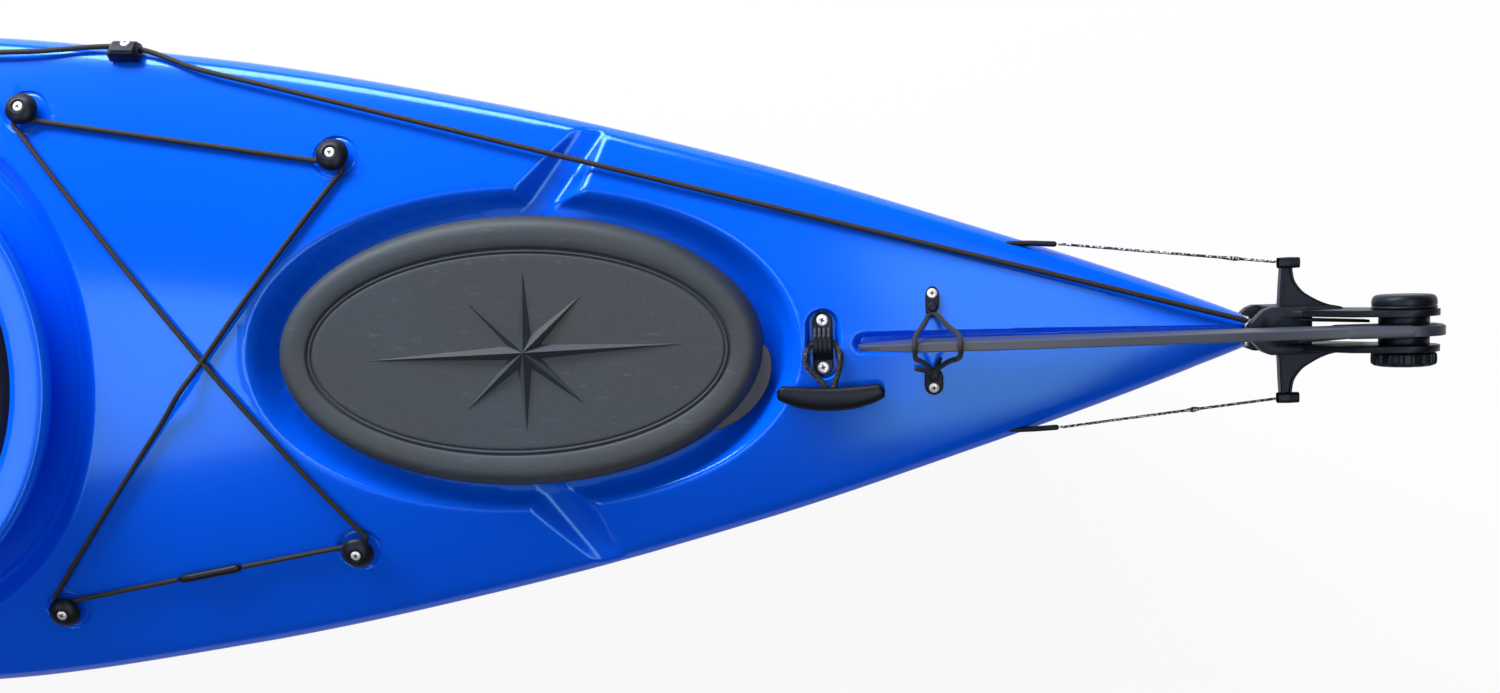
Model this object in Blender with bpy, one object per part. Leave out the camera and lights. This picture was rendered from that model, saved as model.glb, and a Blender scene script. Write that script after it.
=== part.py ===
"""Touring kayak, 3.9 m long, with sealed holds, deck cords and a flip-up stern rudder.

Metres, +Z up. +X points to the stern and +Y to starboard. The origin is on the floor, under the middle of
the flat panel that the hull rests on.
"""

import math

import bmesh
import bpy
from mathutils import Matrix, Vector

# Hull form. The shape tables give a place as a share of half the length, bow -1 and stern +1.
HULL_LENGTH = 3.900
HULL_BEAM = 0.676
SHELL_WALL = 0.0045
GUNWALE_ROLL = 0.014
SEAM_DROP = 0.018
SEAT_GAP = 0.0003
FLAT_WITHIN = 0.000002
RUN_GAP = 0.0006
BREADTH_SHARES = (
    (-1.0, 0.03), (-0.97, 0.085), (-0.9, 0.19), (-0.78, 0.38), (-0.6, 0.62), (-0.4, 0.83), (-0.15, 0.975),
    (0.1, 1.0), (0.369, 0.955), (0.513, 0.853), (0.656, 0.686), (0.781, 0.491), (0.878, 0.306),
    (0.9415, 0.177), (0.9854, 0.080), (1.0, 0.044),
)
KEEL_HEIGHTS = (
    (-1.0, 0.215), (-0.95, 0.130), (-0.88, 0.075), (-0.75, 0.028), (-0.55, 0.001), (-0.3, -0.004),
    (0.4, -0.004), (0.6, 0.002), (0.78, 0.030), (0.9, 0.075), (0.97, 0.125), (1.0, 0.165),
)
EDGE_HEIGHTS = (
    (-1.0, 0.340), (-0.8, 0.298), (-0.5, 0.262), (-0.1, 0.240), (0.36, 0.228), (0.513, 0.230), (0.667, 0.244),
    (0.77, 0.260), (0.872, 0.279), (1.0, 0.299),
)
RIDGE_HEIGHTS = (
    (-1.0, 0.350), (-0.7, 0.338), (-0.3, 0.338), (-0.05, 0.330), (0.2, 0.305), (0.45, 0.286), (0.6, 0.292),
    (0.72, 0.300), (0.87, 0.306), (1.0, 0.307),
)
CROWN_POWERS = ((-1.0, 1.5), (-0.6, 1.8), (0.2, 2.2), (0.5, 1.9), (0.75, 1.45), (1.0, 1.35))
BILGE_SPREAD = 0.75
BILGE_DEPTH = 0.55
STATION_SHARES = (
    -1.0, -0.985, -0.95, -0.9, -0.83, -0.74, -0.64, -0.52, -0.4, -0.2, -0.07, 0.06, 0.18, 0.3, 0.4,
    0.55, 0.63, 0.71, 0.785, 0.85, 0.91, 0.955, 0.985, 1.0,
)
HULL_ANGLES = (0, 14, 27, 40, 52, 63, 73, 82, 90)
DECK_SHARES = (0.0, 0.13, 0.3, 0.46, 0.61, 0.74, 0.85)
HOLLOW_END = 0.035

# Holds and bulkheads.
STERN_BULKHEAD_FROM_STERN = 1.010
BOW_BULKHEAD_FROM_BOW = 1.340
BULKHEAD_THICKNESS = 0.008
BULKHEAD_GAP = 0.0006

# Cockpit.
COCKPIT_WIDEST_FROM_STERN = 1.2955
COCKPIT_REAR = 0.172
COCKPIT_FRONT = 0.690
COCKPIT_HALF_WIDTH = 0.196
COAMING_FLANGE = 0.037
COAMING_ROOT = 0.100
COAMING_THICKNESS = 0.005
COAMING_LIP = 0.012
COAMING_TRENCH = 0.074
COAMING_CREASE = 0.040
TRENCH_DEPTH = 0.014
COAMING_REAR_HEIGHT = 0.320
COAMING_FRONT_HEIGHT = 0.382

# Hatches: the stern one is 448 by 251 mm over its cover, and the bow one is smaller.
STERN_HATCH_FROM_STERN = 0.651
STERN_COVER_LENGTH = 0.457
STERN_COVER_WIDTH = 0.251
BOW_HATCH_FROM_BOW = 0.900
BOW_COVER_LENGTH = 0.330
BOW_COVER_WIDTH = 0.215
HATCH_DEPTH = 0.040
HATCH_FLOOR_MARGIN = 0.011
HATCH_WALL_LENGTHWISE = 0.028
HATCH_WALL_CROSSWISE = 0.056
HATCH_CUT_HEIGHT = 0.060
HATCH_RIM_INSET = 0.030
HATCH_RIM_WALL = 0.004
HATCH_RIM_HEIGHT = 0.019
HATCH_RIM_FOOT = 0.014
COVER_HEIGHT = 0.034
COVER_TAB = 0.012
COVER_TAB_SWEEP = 38.0

# Drain channels from the stern hatch recess out over the gunwale.
DRAIN_START_FROM_HATCH = 0.010
DRAIN_END_FROM_HATCH = 0.096
DRAIN_START_ACROSS = 0.118
DRAIN_HALF_WIDTH = 0.012
DRAIN_BANK = 0.010
DRAIN_DROP = 0.010

# Deck cord fittings: domes over a boss that the cord runs round.
DOME_RADIUS = 0.0155
DOME_BOSS_RADIUS = 0.004
DOME_UNDERSIDE = 0.0078
DOME_HEIGHT = 0.0165
DOME_DISH_RADIUS = 0.0205
DOME_DISH_DEPTH = 0.0015
BUNGEE_DIAMETER = 0.005
CORD_LIFT = 0.0013
CORD_TURN_RADIUS = 0.0045
CORD_TURN_OUT = 0.0045
CORD_TURN_IN = 0.012
STERN_DOMES_FORE_FROM_STERN = 1.121
STERN_DOMES_AFT_FROM_STERN = 0.819
STERN_DOMES_FORE_ACROSS = 0.241
STERN_DOMES_AFT_ACROSS = 0.1855
BOW_DOMES_AFT_FROM_BOW = 1.640
BOW_DOMES_FORE_FROM_BOW = 1.390
BOW_DOMES_AFT_ACROSS = 0.215
BOW_DOMES_FORE_ACROSS = 0.175
SLEEVE_DIAMETER = 0.0085
SLEEVE_LENGTH = 0.066

# Cockpit fittings.
SEAT_FROM_STERN = 1.385
SEAT_LENGTH = 0.330
SEAT_HALF_WIDTH = 0.170
SEAT_WALL = 0.005
SEAT_BLOCK_HEIGHT = 0.045
SEAT_DISH = 0.020
SEAT_WING = 0.085
BACKREST_HEIGHT = 0.175
BACKREST_HALF_WIDTH = 0.135
BACKREST_THICKNESS = 0.026
BACKREST_PIVOT_BACK = 0.012
BACKREST_PIVOT_UP = 0.020
BACKREST_TONGUE = 0.110
BACKREST_CURVE = 0.035
THIGH_BRACE_LENGTH = 0.200
THIGH_BRACE_FROM_FRONT = 0.150
THIGH_BRACE_REACH = 0.045
THIGH_BRACE_GAP = 0.0016
THIGH_BRACE_THICKNESS = 0.006
FOOT_RAIL_LENGTH = 0.420
FOOT_RAIL_FROM_STERN = 2.400
FOOT_RAIL_HEIGHT = 0.140
FOOT_RAIL_DEPTH = 0.024
FOOT_RAIL_THICKNESS = 0.008
FOOT_RAIL_PAD = 0.030
RAIL_GAP = 0.0022
PEDAL_WIDTH = 0.075
PEDAL_PLATE_HEIGHT = 0.110
PEDAL_THICKNESS = 0.008

# Rudder. Places along the boat count from the yaw pin, which stands behind the stern.
PIN_BEHIND_STERN = 0.014
PIN_RADIUS = 0.004
PIN_HEAD_RADIUS = 0.008
PIN_HEAD_HEIGHT = 0.004
BRACKET_RADIUS = 0.009
BRACKET_HEIGHT = 0.046
BRACKET_PLATE = 0.004
BRACKET_PLATE_WIDTH = 0.026
BRACKET_NECK = 0.010
LUG_THICKNESS = 0.014
LUG_FRONT = 0.013
LUG_HALF_WIDTH = 0.0205
HOUSING_BACK = 0.040
HOUSING_SPLIT = 0.0003
ARM_REACH = 0.0585
ARM_SWEEP = 0.021
ARM_THICKNESS = 0.011
ARM_END_RADIUS = 0.006
CHEEK_THICKNESS = 0.0055
CHEEK_END_RADIUS = 0.028
BLADE_THICKNESS = 0.010
BLADE_LENGTH = 0.455
BLADE_ROOT_RADIUS = 0.032
BLADE_TIP_WIDTH = 0.080
BLADE_CORNER = 0.055
BLADE_EDGE = 0.003
PIVOT_FROM_PIN = 0.105
HUB_WASHER = 0.0065
HUB_RADIUS = 0.020
BOLT_RADIUS = 0.004
KNOB_RADIUS = 0.0258
KNOB_HEIGHT = 0.012
NUT_RIBS = 16
NUT_RIB_DEPTH = 0.0018
STOW_CLEARANCE = 0.009
YAW_CLEARANCE = 0.0015
GROOVE_START_FROM_STERN = 0.343
GROOVE_FRONT_HALF_WIDTH = 0.010
GROOVE_BACK_HALF_WIDTH = 0.005
GROOVE_FRONT_DEPTH = 0.013
GROOVE_BACK_DEPTH = 0.006

# Steering lines and their tubes, and the lift line.
TUBE_DIAMETER = 0.005
TUBE_HOLE_CLEARANCE = 0.0006
TUBE_EXIT_FROM_STERN = 0.193
TUBE_EXIT_ACROSS = 0.0835
STEERING_LINE_DIAMETER = 0.0024
LIFT_LINE_DIAMETER = 0.005
FAIRLEAD_FROM_STERN = 1.027
FAIRLEAD_IN = 0.0085
FAIRLEAD_LENGTH = 0.029
FAIRLEAD_WIDTH = 0.017
FAIRLEAD_HEIGHT = 0.013
CLEAT_FROM_STERN = 1.760
LIFT_PULL_TRAVEL = 0.120

# Carry toggles and the blade's retaining loop.
STERN_PADEYE_FROM_STERN = 0.368
BOW_PADEYE_FROM_BOW = 0.300
PADEYE_LENGTH = 0.058
PADEYE_WIDTH = 0.018
PADEYE_RISE = 0.011
PADEYE_STRAP = 0.004
PADEYE_DISH_LENGTH = 0.070
PADEYE_DISH_TAPER = 0.006
PADEYE_DISH_FLARE = 0.020
PADEYE_DISH_CUT = 0.030
PADEYE_DISH_WIDTH = 0.033
PADEYE_DISH_DEPTH = 0.011
TOGGLE_CORD_DIAMETER = 0.005
GRIP_LENGTH = 0.097
GRIP_DEPTH = 0.022
GRIP_HEIGHT = 0.014
GRIP_AFT_OF_PADEYE = 0.006
GRIP_FROM_PADEYE = 0.0475
LOOP_FITTING_FROM_STERN = 0.270
LOOP_FITTING_ACROSS = 0.036
LOOP_FITTING_LENGTH = 0.024
LOOP_FITTING_WIDTH = 0.016
LOOP_FITTING_HEIGHT = 0.006
LOOP_DIAMETER = 0.0045
LOOP_SPREAD = 0.019
LOOP_OVER_EDGE = 0.0036

STERN = HULL_LENGTH / 2
BOW = -HULL_LENGTH / 2


def clear_scene():
    for old in list(bpy.data.objects):
        bpy.data.objects.remove(old, do_unlink=True)


def finish(name, colour, roughness, metallic=0.0):
    made = bpy.data.materials.new(name)
    made.use_nodes = True
    shader = made.node_tree.nodes["Principled BSDF"]
    shader.inputs["Base Color"].default_value = (*colour, 1.0)
    shader.inputs["Roughness"].default_value = roughness
    shader.inputs["Metallic"].default_value = metallic
    return made


def fair(points):
    """A smooth curve through (place, value) pairs that never overshoots them."""
    places = [p for p, _ in points]
    values = [v for _, v in points]
    spans = [b - a for a, b in zip(places, places[1:])]
    rises = [(b - a) / s for a, b, s in zip(values, values[1:], spans)]
    slopes = [rises[0]]
    for before, after in zip(rises, rises[1:]):
        slopes.append(0.0 if before * after <= 0 else 2 * before * after / (before + after))
    slopes.append(rises[-1])

    def value(place):
        place = min(max(place, places[0]), places[-1])
        i = max(k for k in range(len(spans)) if places[k] <= place)
        t = (place - places[i]) / spans[i]
        rise = (3 - 2 * t) * t * t * (values[i + 1] - values[i])
        bend = spans[i] * t * (1 - t) * ((1 - t) * slopes[i] - t * slopes[i + 1])
        return values[i] + rise + bend

    return value


breadth_share = fair(BREADTH_SHARES)
keel_height = fair(KEEL_HEIGHTS)
edge_height = fair(EDGE_HEIGHTS)
ridge_height = fair(RIDGE_HEIGHTS)
crown_power = fair(CROWN_POWERS)


def half_breadth(x):
    return HULL_BEAM / 2 * breadth_share(x / STERN)


def ridge(x):
    return ridge_height(x / STERN)


def roll_at(x):
    return min(GUNWALE_ROLL, 0.5 * half_breadth(x))


def seam(x):
    return edge_height(x / STERN) - roll_at(x) - SEAM_DROP


def deck_height(x, y):
    """The deck's outer surface, before any recess."""
    half = half_breadth(x)
    edge = edge_height(x / STERN)
    away = min(abs(y) / half, 1.0)
    height = edge + (ridge(x) - edge) * (1 - away ** crown_power(x / STERN))
    roll = roll_at(x)
    past = min(max((abs(y) - half + roll) / roll, 0.0), 1.0)
    return height - roll * (1 - math.sqrt(1 - past * past))


def deck_point(x, y, lift=0.0):
    return Vector((x, y, deck_height(x, y))) + deck_normal(x, y) * lift


def deck_normal(x, y, step=0.002):
    along = (deck_height(x + step, y) - deck_height(x - step, y)) / (2 * step)
    across = (deck_height(x, y + step) - deck_height(x, y - step)) / (2 * step)
    return Vector((-along, -across, 1.0)).normalized()


def deck_frame(x, y, sink=0.0):
    """A frame on the deck: Z along its normal, X along the boat."""
    up = deck_normal(x, y)
    side = up.cross(Vector((1, 0, 0))).normalized()
    along = side.cross(up)
    frame = Matrix((along, side, up)).transposed().to_4x4()
    frame.translation = deck_point(x, y, -sink)
    return frame


def stations():
    bulkheads = (STERN - STERN_BULKHEAD_FROM_STERN, BOW + BOW_BULKHEAD_FROM_BOW)
    return sorted({share * STERN for share in STATION_SHARES} | set(bulkheads))


def hollow_stations():
    """The stations of the shells' inside, which stops where the ends get too narrow to be hollow."""
    return [x for x in stations() if half_breadth(x) > HOLLOW_END]


def hull_section(x, inset=0.0):
    """Points from the starboard seam round the keel to the port seam."""
    half = half_breadth(x) - inset
    top = seam(x)
    depth = top - keel_height(x / STERN) - inset
    right = []
    for angle in map(math.radians, HULL_ANGLES):
        across = half * math.sin(angle) ** BILGE_SPREAD
        height = top - depth * max(math.cos(angle), 0.0) ** BILGE_DEPTH
        right.append((x, across, max(height, inset)))
    return right[::-1] + [(x, -y, z) for _, y, z in right[1:]]


def deck_section(x, inset=0.0):
    """Points from the starboard deck edge over the ridge to the port edge."""
    half = half_breadth(x) - inset
    roll = roll_at(x)
    places = [share * (half - roll) for share in DECK_SHARES]
    places += [half - roll * (1 - math.sin(math.radians(a))) for a in (0, 30, 60, 90)]
    right = [(x, y, deck_height(x, y) - inset) for y in places]
    return right[::-1] + [(x, -y, z) for _, y, z in right[1:]]


def bent(face):
    middle = face.calc_center_median()
    return any(abs((v.co - middle).dot(face.normal)) > FLAT_WITHIN for v in face.verts)


def make(name, bm, material=None, smooth=30):
    """An object from a bmesh; without a material it is a hidden cutter.

    Booleans need flat faces, so bent ones are split.
    """
    bmesh.ops.recalc_face_normals(bm, faces=bm.faces)
    if bm.calc_volume(signed=True) < 0:
        bmesh.ops.reverse_faces(bm, faces=bm.faces)
    bmesh.ops.triangulate(bm, faces=[f for f in bm.faces if bent(f)])
    mesh = bpy.data.meshes.new(name)
    bm.to_mesh(mesh)
    bm.free()
    made = bpy.data.objects.new(name, mesh)
    bpy.context.scene.collection.objects.link(made)
    if material is None:
        made.hide_render = True
        made.display_type = "WIRE"
        return made
    mesh.materials.append(material)
    if smooth:
        mesh.shade_smooth()
        mesh.set_sharp_from_angle(angle=math.radians(smooth))
    return made


def boolean(target, cutter, operation="DIFFERENCE"):
    modifier = target.modifiers.new(cutter.name, "BOOLEAN")
    modifier.object = cutter
    modifier.operation = operation
    return target


def loft(rings, loop=False, bm=None, frame=None):
    """A closed skin over rings of equal counts; loop joins the last ring to the first."""
    bm = bm or bmesh.new()
    layers = []
    for ring in rings:
        points = [Vector(p) for p in ring]
        if frame is not None:
            points = [frame @ p for p in points]
        layers.append([bm.verts.new(p) for p in points])
    pairs = list(zip(layers, layers[1:]))
    if loop:
        pairs.append((layers[-1], layers[0]))
    for lower, upper in pairs:
        count = len(lower)
        for i in range(count):
            j = (i + 1) % count
            bm.faces.new((lower[i], lower[j], upper[j], upper[i]))
    if not loop:
        bm.faces.new(layers[0][::-1])
        bm.faces.new(layers[-1])
    return bm


def circle(radius, height, count=16, x=0.0, y=0.0):
    turns = [2 * math.pi * i / count for i in range(count)]
    return [(x + radius * math.cos(a), y + radius * math.sin(a), height) for a in turns]


def turned(profile, frame=None, count=16, bm=None):
    """A solid of revolution round Z from (radius, height) pairs, bottom to top."""
    return loft([circle(r, z, count) for r, z in profile], bm=bm, frame=frame)


def box(low, high, bm=None, frame=None):
    (ax, ay, az), (bx, by, bz) = low, high
    rings = [[(ax, ay, z), (bx, ay, z), (bx, by, z), (ax, by, z)] for z in (az, bz)]
    return loft(rings, bm=bm, frame=frame)


def prism(outline, low, high, frame=None, bm=None):
    """An (x, y) outline raised from low to high."""
    return loft([[(x, y, z) for x, y in outline] for z in (low, high)], bm=bm, frame=frame)


def stadium(length, width, count=6, x=0.0, y=0.0):
    """A slot outline along Y."""
    radius = width / 2
    run = length / 2 - radius
    points = []
    for middle, start in ((run, 0.0), (-run, math.pi)):
        for i in range(count + 1):
            a = start + math.pi * i / count
            points.append((x + radius * math.cos(a), y + middle + radius * math.sin(a)))
    return points


def sweep(points, radius, count=8, bm=None):
    """A round tube along points, for cutters and rigid bars."""
    rings = []
    up = Vector((0, 0, 1))
    for i, point in enumerate(points):
        before = Vector(points[max(i - 1, 0)])
        after = Vector(points[min(i + 1, len(points) - 1)])
        ahead = (after - before).normalized()
        side = ahead.cross(up).normalized()
        top = side.cross(ahead)
        turns = [2 * math.pi * k / count for k in range(count)]
        rings.append([Vector(point) + (side * math.cos(a) + top * math.sin(a)) * radius for a in turns])
    return loft(rings, bm=bm)


def cord(name, points, diameter, material, resolution=2):
    curve = bpy.data.curves.new(name, "CURVE")
    curve.dimensions = "3D"
    curve.bevel_depth = diameter / 2
    curve.bevel_resolution = resolution
    curve.use_fill_caps = True
    spline = curve.splines.new("POLY")
    spline.points.add(len(points) - 1)
    for place, point in zip(spline.points, points):
        place.co = (*point, 1.0)
    curve.materials.append(material)
    made = bpy.data.objects.new(name, curve)
    bpy.context.scene.collection.objects.link(made)
    return made


def through(points, step):
    """Points about one step apart on a smooth curve through the chosen points."""
    points = [Vector(p) for p in points]
    ends = [points[0] * 2 - points[1]] + points + [points[-1] * 2 - points[-2]]
    curve = [points[0]]
    for a, b, c, d in zip(ends, ends[1:], ends[2:], ends[3:]):
        count = max(1, round((c - b).length / step))
        for i in range(1, count + 1):
            t = i / count
            bend = (2 * a - 5 * b + 4 * c - d) * t * t + (3 * b - a - 3 * c + d) * t ** 3
            curve.append((2 * b + (c - a) * t + bend) / 2)
    return curve


def oval(middle, rear, front, half_width, offset=0.0, count=24, turn=0.5):
    """An outline of two half ellipses: rear is its reach towards +X, front towards -X."""
    points = []
    for i in range(count):
        a = 2 * math.pi * (i + turn) / count
        reach = rear if math.cos(a) > 0 else front
        points.append((middle + (reach + offset) * math.cos(a), (half_width + offset) * math.sin(a)))
    return points


def raised(outline, height):
    """The outline with each point's height given by a number or by a function of its place."""
    return [(x, y, height(x, y) if callable(height) else height) for x, y in outline]


# The two shells are cut to an even wall, and the recesses are sunk in their inside too.
COCKPIT_X = STERN - COCKPIT_WIDEST_FROM_STERN
STERN_HATCH_X = STERN - STERN_HATCH_FROM_STERN
BOW_HATCH_X = BOW + BOW_HATCH_FROM_BOW


def cockpit(offset, turn=0.5):
    """The cockpit's outline; half a step of turn keeps the corners of two outlines off each other."""
    return oval(COCKPIT_X, COCKPIT_REAR, COCKPIT_FRONT, COCKPIT_HALF_WIDTH, offset, 40, turn)


def coaming_height(x, y=0.0):
    """The plane of the coaming's top, which climbs towards the bow."""
    back = COCKPIT_X + COCKPIT_REAR
    front = COCKPIT_X - COCKPIT_FRONT
    share = (back - x) / (back - front)
    return COAMING_REAR_HEIGHT + share * (COAMING_FRONT_HEIGHT - COAMING_REAR_HEIGHT)


def trench_cutter(name, grow):
    """The sunk band round the coaming, grown by a wall for the shell's inside."""
    depth = TRENCH_DEPTH + grow

    def floor(x, y):
        return deck_height(x, y) - depth

    def above(x, y):
        return deck_height(x, y) + 0.03

    crease = COAMING_CREASE + grow
    edge = COAMING_TRENCH + grow + 0.03 * (COAMING_TRENCH - COAMING_CREASE) / TRENCH_DEPTH
    rings = [raised(cockpit(shrink, 0.0), floor) for shrink in (-0.17, -0.08, 0.0, crease)]
    rings.append(raised(cockpit(edge, 0.0), above))
    rings.append(raised(cockpit(edge, 0.0), COAMING_FRONT_HEIGHT + 0.1))
    return make(name, loft(rings))


def coaming_body():
    """A plug whose outside is the coaming: an upstand, the flange and its turned-down lip."""
    def lower(drop):
        return lambda x, y: coaming_height(x) - drop

    wall = SHELL_WALL
    thick = COAMING_THICKNESS
    rings = [
        raised(cockpit(wall), lower(COAMING_ROOT)),
        raised(cockpit(wall), lower(thick)),
        raised(cockpit(COAMING_FLANGE - 0.0045), lower(thick)),
        raised(cockpit(COAMING_FLANGE - 0.003), lower(COAMING_LIP)),
        raised(cockpit(COAMING_FLANGE), lower(COAMING_LIP)),
        raised(cockpit(COAMING_FLANGE), lower(0.005)),
        raised(cockpit(COAMING_FLANGE - 0.005), lower(0.0)),
    ]
    return make("coaming_form", loft(rings))


def hatch_cutter(name, x, length, width, grow=0.0):
    """The bowl that a hatch sits in, with a flat floor and flared sides."""
    floor = hatch_floor(x) - grow
    half_length = length / 2 + HATCH_FLOOR_MARGIN + grow
    half_width = width / 2 + HATCH_FLOOR_MARGIN + grow
    low = oval(x, half_length, half_length, half_width)
    bank = half_length + HATCH_WALL_LENGTHWISE
    high = oval(x, bank, bank, half_width + HATCH_WALL_CROSSWISE)
    return make(name, loft([raised(low, floor), raised(high, floor + HATCH_CUT_HEIGHT)]))


def hatches():
    return (("stern", STERN_HATCH_X, STERN_COVER_LENGTH, STERN_COVER_WIDTH),
            ("bow", BOW_HATCH_X, BOW_COVER_LENGTH, BOW_COVER_WIDTH))


def hatch_floor(x):
    return ridge(x) - HATCH_DEPTH


def opening_cutter(name, x, length, width):
    half_length = length / 2 - HATCH_RIM_INSET
    outline = oval(x, half_length, half_length, width / 2 - HATCH_RIM_INSET)
    return make(name, prism(outline, hatch_floor(x) - 0.05, hatch_floor(x) + 0.05))


def drain_cutter(name, side, grow=0.0):
    """A channel from the stern hatch recess, aft and outwards over the gunwale."""
    start = Vector((STERN_HATCH_X + DRAIN_START_FROM_HATCH, DRAIN_START_ACROSS))
    end_x = STERN_HATCH_X + DRAIN_END_FROM_HATCH
    end = Vector((end_x, half_breadth(end_x) + 0.03))
    ahead = (end - start).normalized()
    across = Vector((ahead.y, -ahead.x))
    floor = hatch_floor(STERN_HATCH_X) - grow
    rings = []
    for place, drop in ((start, 0.0), (end, DRAIN_DROP)):
        ring = []
        low = DRAIN_HALF_WIDTH + grow
        high = low + DRAIN_BANK + 0.045
        for shift, height in ((-high, 0.06), (-low - 0.003, 0.003), (-low + 0.004, 0.0),
                              (low - 0.004, 0.0), (low + 0.003, 0.003), (high, 0.06)):
            spot = place + across * shift
            ring.append((spot.x, side * spot.y, floor - drop + height))
        rings.append(ring)
    return make(name, loft(rings))


def groove_cutter(grow=0.0):
    """The groove under the stowed rudder blade."""
    start = STERN - GROOVE_START_FROM_STERN
    bm = bmesh.new()
    rings = []
    for share, widen in ((0.0, 0.35), (0.01, 0.8), (0.03, 1.0), (0.5, 1.0), (1.0, 1.0)):
        x = start - grow + share * (STERN + 0.02 - start)
        back = max(share - 0.03, 0.0) / 0.97
        half = (GROOVE_FRONT_HALF_WIDTH * (1 - back) + GROOVE_BACK_HALF_WIDTH * back) * widen + grow
        depth = GROOVE_FRONT_DEPTH * (1 - back) + GROOVE_BACK_DEPTH * back + grow
        floor = ridge(x) - depth
        rings.append([(x, -half - 0.012, floor + 0.04), (x, -half, floor + 0.010), (x, -half * 0.5, floor),
                      (x, half * 0.5, floor), (x, half, floor + 0.010), (x, half + 0.012, floor + 0.04)])
    return make(f"groove_{'inside' if grow else 'outside'}", loft(rings, bm=bm))


def dish_cutters():
    """A shallow round dish under each dome fitting, sunk in the wall's outer face only."""
    bm = bmesh.new()
    radius = DOME_DISH_RADIUS
    for _, x, y in dome_places():
        frame = deck_frame(x, y, DOME_DISH_DEPTH)
        turned([(radius - 0.001, 0.0), (radius, 0.0015), (radius + 0.008, 0.02)], frame, count=14, bm=bm)
    return make("dishes", bm)


def padeye_dish(x, grow=0.0):
    frame = padeye_frame(x, grow)
    rings = []
    for wider, height in ((-PADEYE_DISH_TAPER, 0.0), (PADEYE_DISH_FLARE, PADEYE_DISH_CUT)):
        more = wider + 2 * grow
        rings.append(raised(stadium(PADEYE_DISH_LENGTH + more, PADEYE_DISH_WIDTH + more), height))
    return loft(rings, frame=frame)


def padeye_frame(x, sink=0.0):
    tilt = math.atan2(ridge(x + 0.02) - ridge(x - 0.02), 0.04)
    spot = Matrix.Translation((x, 0.0, ridge(x) - PADEYE_DISH_DEPTH - sink))
    return spot @ Matrix.Rotation(-tilt, 4, "Y")


def dome_places():
    """(name, x, y) of each dome fitting."""
    rows = (
        ("stern_dome_fore", STERN - STERN_DOMES_FORE_FROM_STERN, STERN_DOMES_FORE_ACROSS),
        ("stern_dome_aft", STERN - STERN_DOMES_AFT_FROM_STERN, STERN_DOMES_AFT_ACROSS),
        ("bow_dome_fore", BOW + BOW_DOMES_FORE_FROM_BOW, BOW_DOMES_FORE_ACROSS),
        ("bow_dome_aft", BOW + BOW_DOMES_AFT_FROM_BOW, BOW_DOMES_AFT_ACROSS),
    )
    return [(f"{name}_{side}", x, sign * y) for name, x, y in rows
            for side, sign in (("starboard", 1), ("port", -1))]


def tube_route(side):
    """A steering tube: from the cockpit's side, along inside the hull and out through the deck's edge."""
    exit_x = STERN - TUBE_EXIT_FROM_STERN
    bulkhead = STERN - STERN_BULKHEAD_FROM_STERN
    lift = TUBE_DIAMETER / 2
    chosen = [
        (bulkhead - 0.18, half_breadth(bulkhead - 0.18) - 0.016, 0.150),
        (bulkhead, half_breadth(bulkhead) - 0.018, 0.165),
        (bulkhead + 0.35, half_breadth(bulkhead + 0.35) - 0.020, 0.205),
        (exit_x - 0.16, half_breadth(exit_x - 0.16) - 0.020, 0.238),
        (exit_x - 0.04, TUBE_EXIT_ACROSS - 0.001, deck_height(exit_x - 0.04, TUBE_EXIT_ACROSS) - 0.010),
        (exit_x, TUBE_EXIT_ACROSS, deck_height(exit_x, TUBE_EXIT_ACROSS) + lift * 0.5),
        (exit_x + 0.034, TUBE_EXIT_ACROSS - 0.002, deck_height(exit_x, TUBE_EXIT_ACROSS) + lift * 3.0),
    ]
    return [(x, side * y, z) for x, y, z in chosen]


def padeye_places():
    return (("stern", STERN - STERN_PADEYE_FROM_STERN), ("bow", BOW + BOW_PADEYE_FROM_BOW))


def shell_cutters(grow):
    """Everything sunk in the deck, at its outer size or grown by the wall for the inside."""
    word = "inside" if grow else "outside"
    cutters = [trench_cutter(f"trench_{word}", grow)]
    for end, x, length, width in hatches():
        cutters.append(hatch_cutter(f"{end}_bowl_{word}", x, length, width, grow))
    cutters.append(drain_cutter(f"drain_starboard_{word}", 1, grow))
    cutters.append(drain_cutter(f"drain_port_{word}", -1, grow))
    cutters.append(groove_cutter(grow))
    if not grow:
        cutters.append(dish_cutters())
    for end, x in padeye_places():
        cutters.append(make(f"{end}_padeye_dish_{word}", padeye_dish(x, grow)))
    return cutters


def hull_shell(material):
    """The lower shell, open at the seam."""
    shell = make("hull_shell", loft([hull_section(x) for x in stations()]), material)
    rings = []
    for x in hollow_stations():
        ring = hull_section(x, SHELL_WALL)
        lid = seam(x) + 0.05
        half = half_breadth(x) - SHELL_WALL
        rings.append([(x, half, lid)] + ring + [(x, -half, lid)])
    return boolean(shell, make("hull_hollow", loft(rings)))


def deck_ring(x, inset, bottom):
    ring = deck_section(x, inset)
    half = half_breadth(x) - inset
    return [(x, half, bottom)] + ring + [(x, -half, bottom)]


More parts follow.
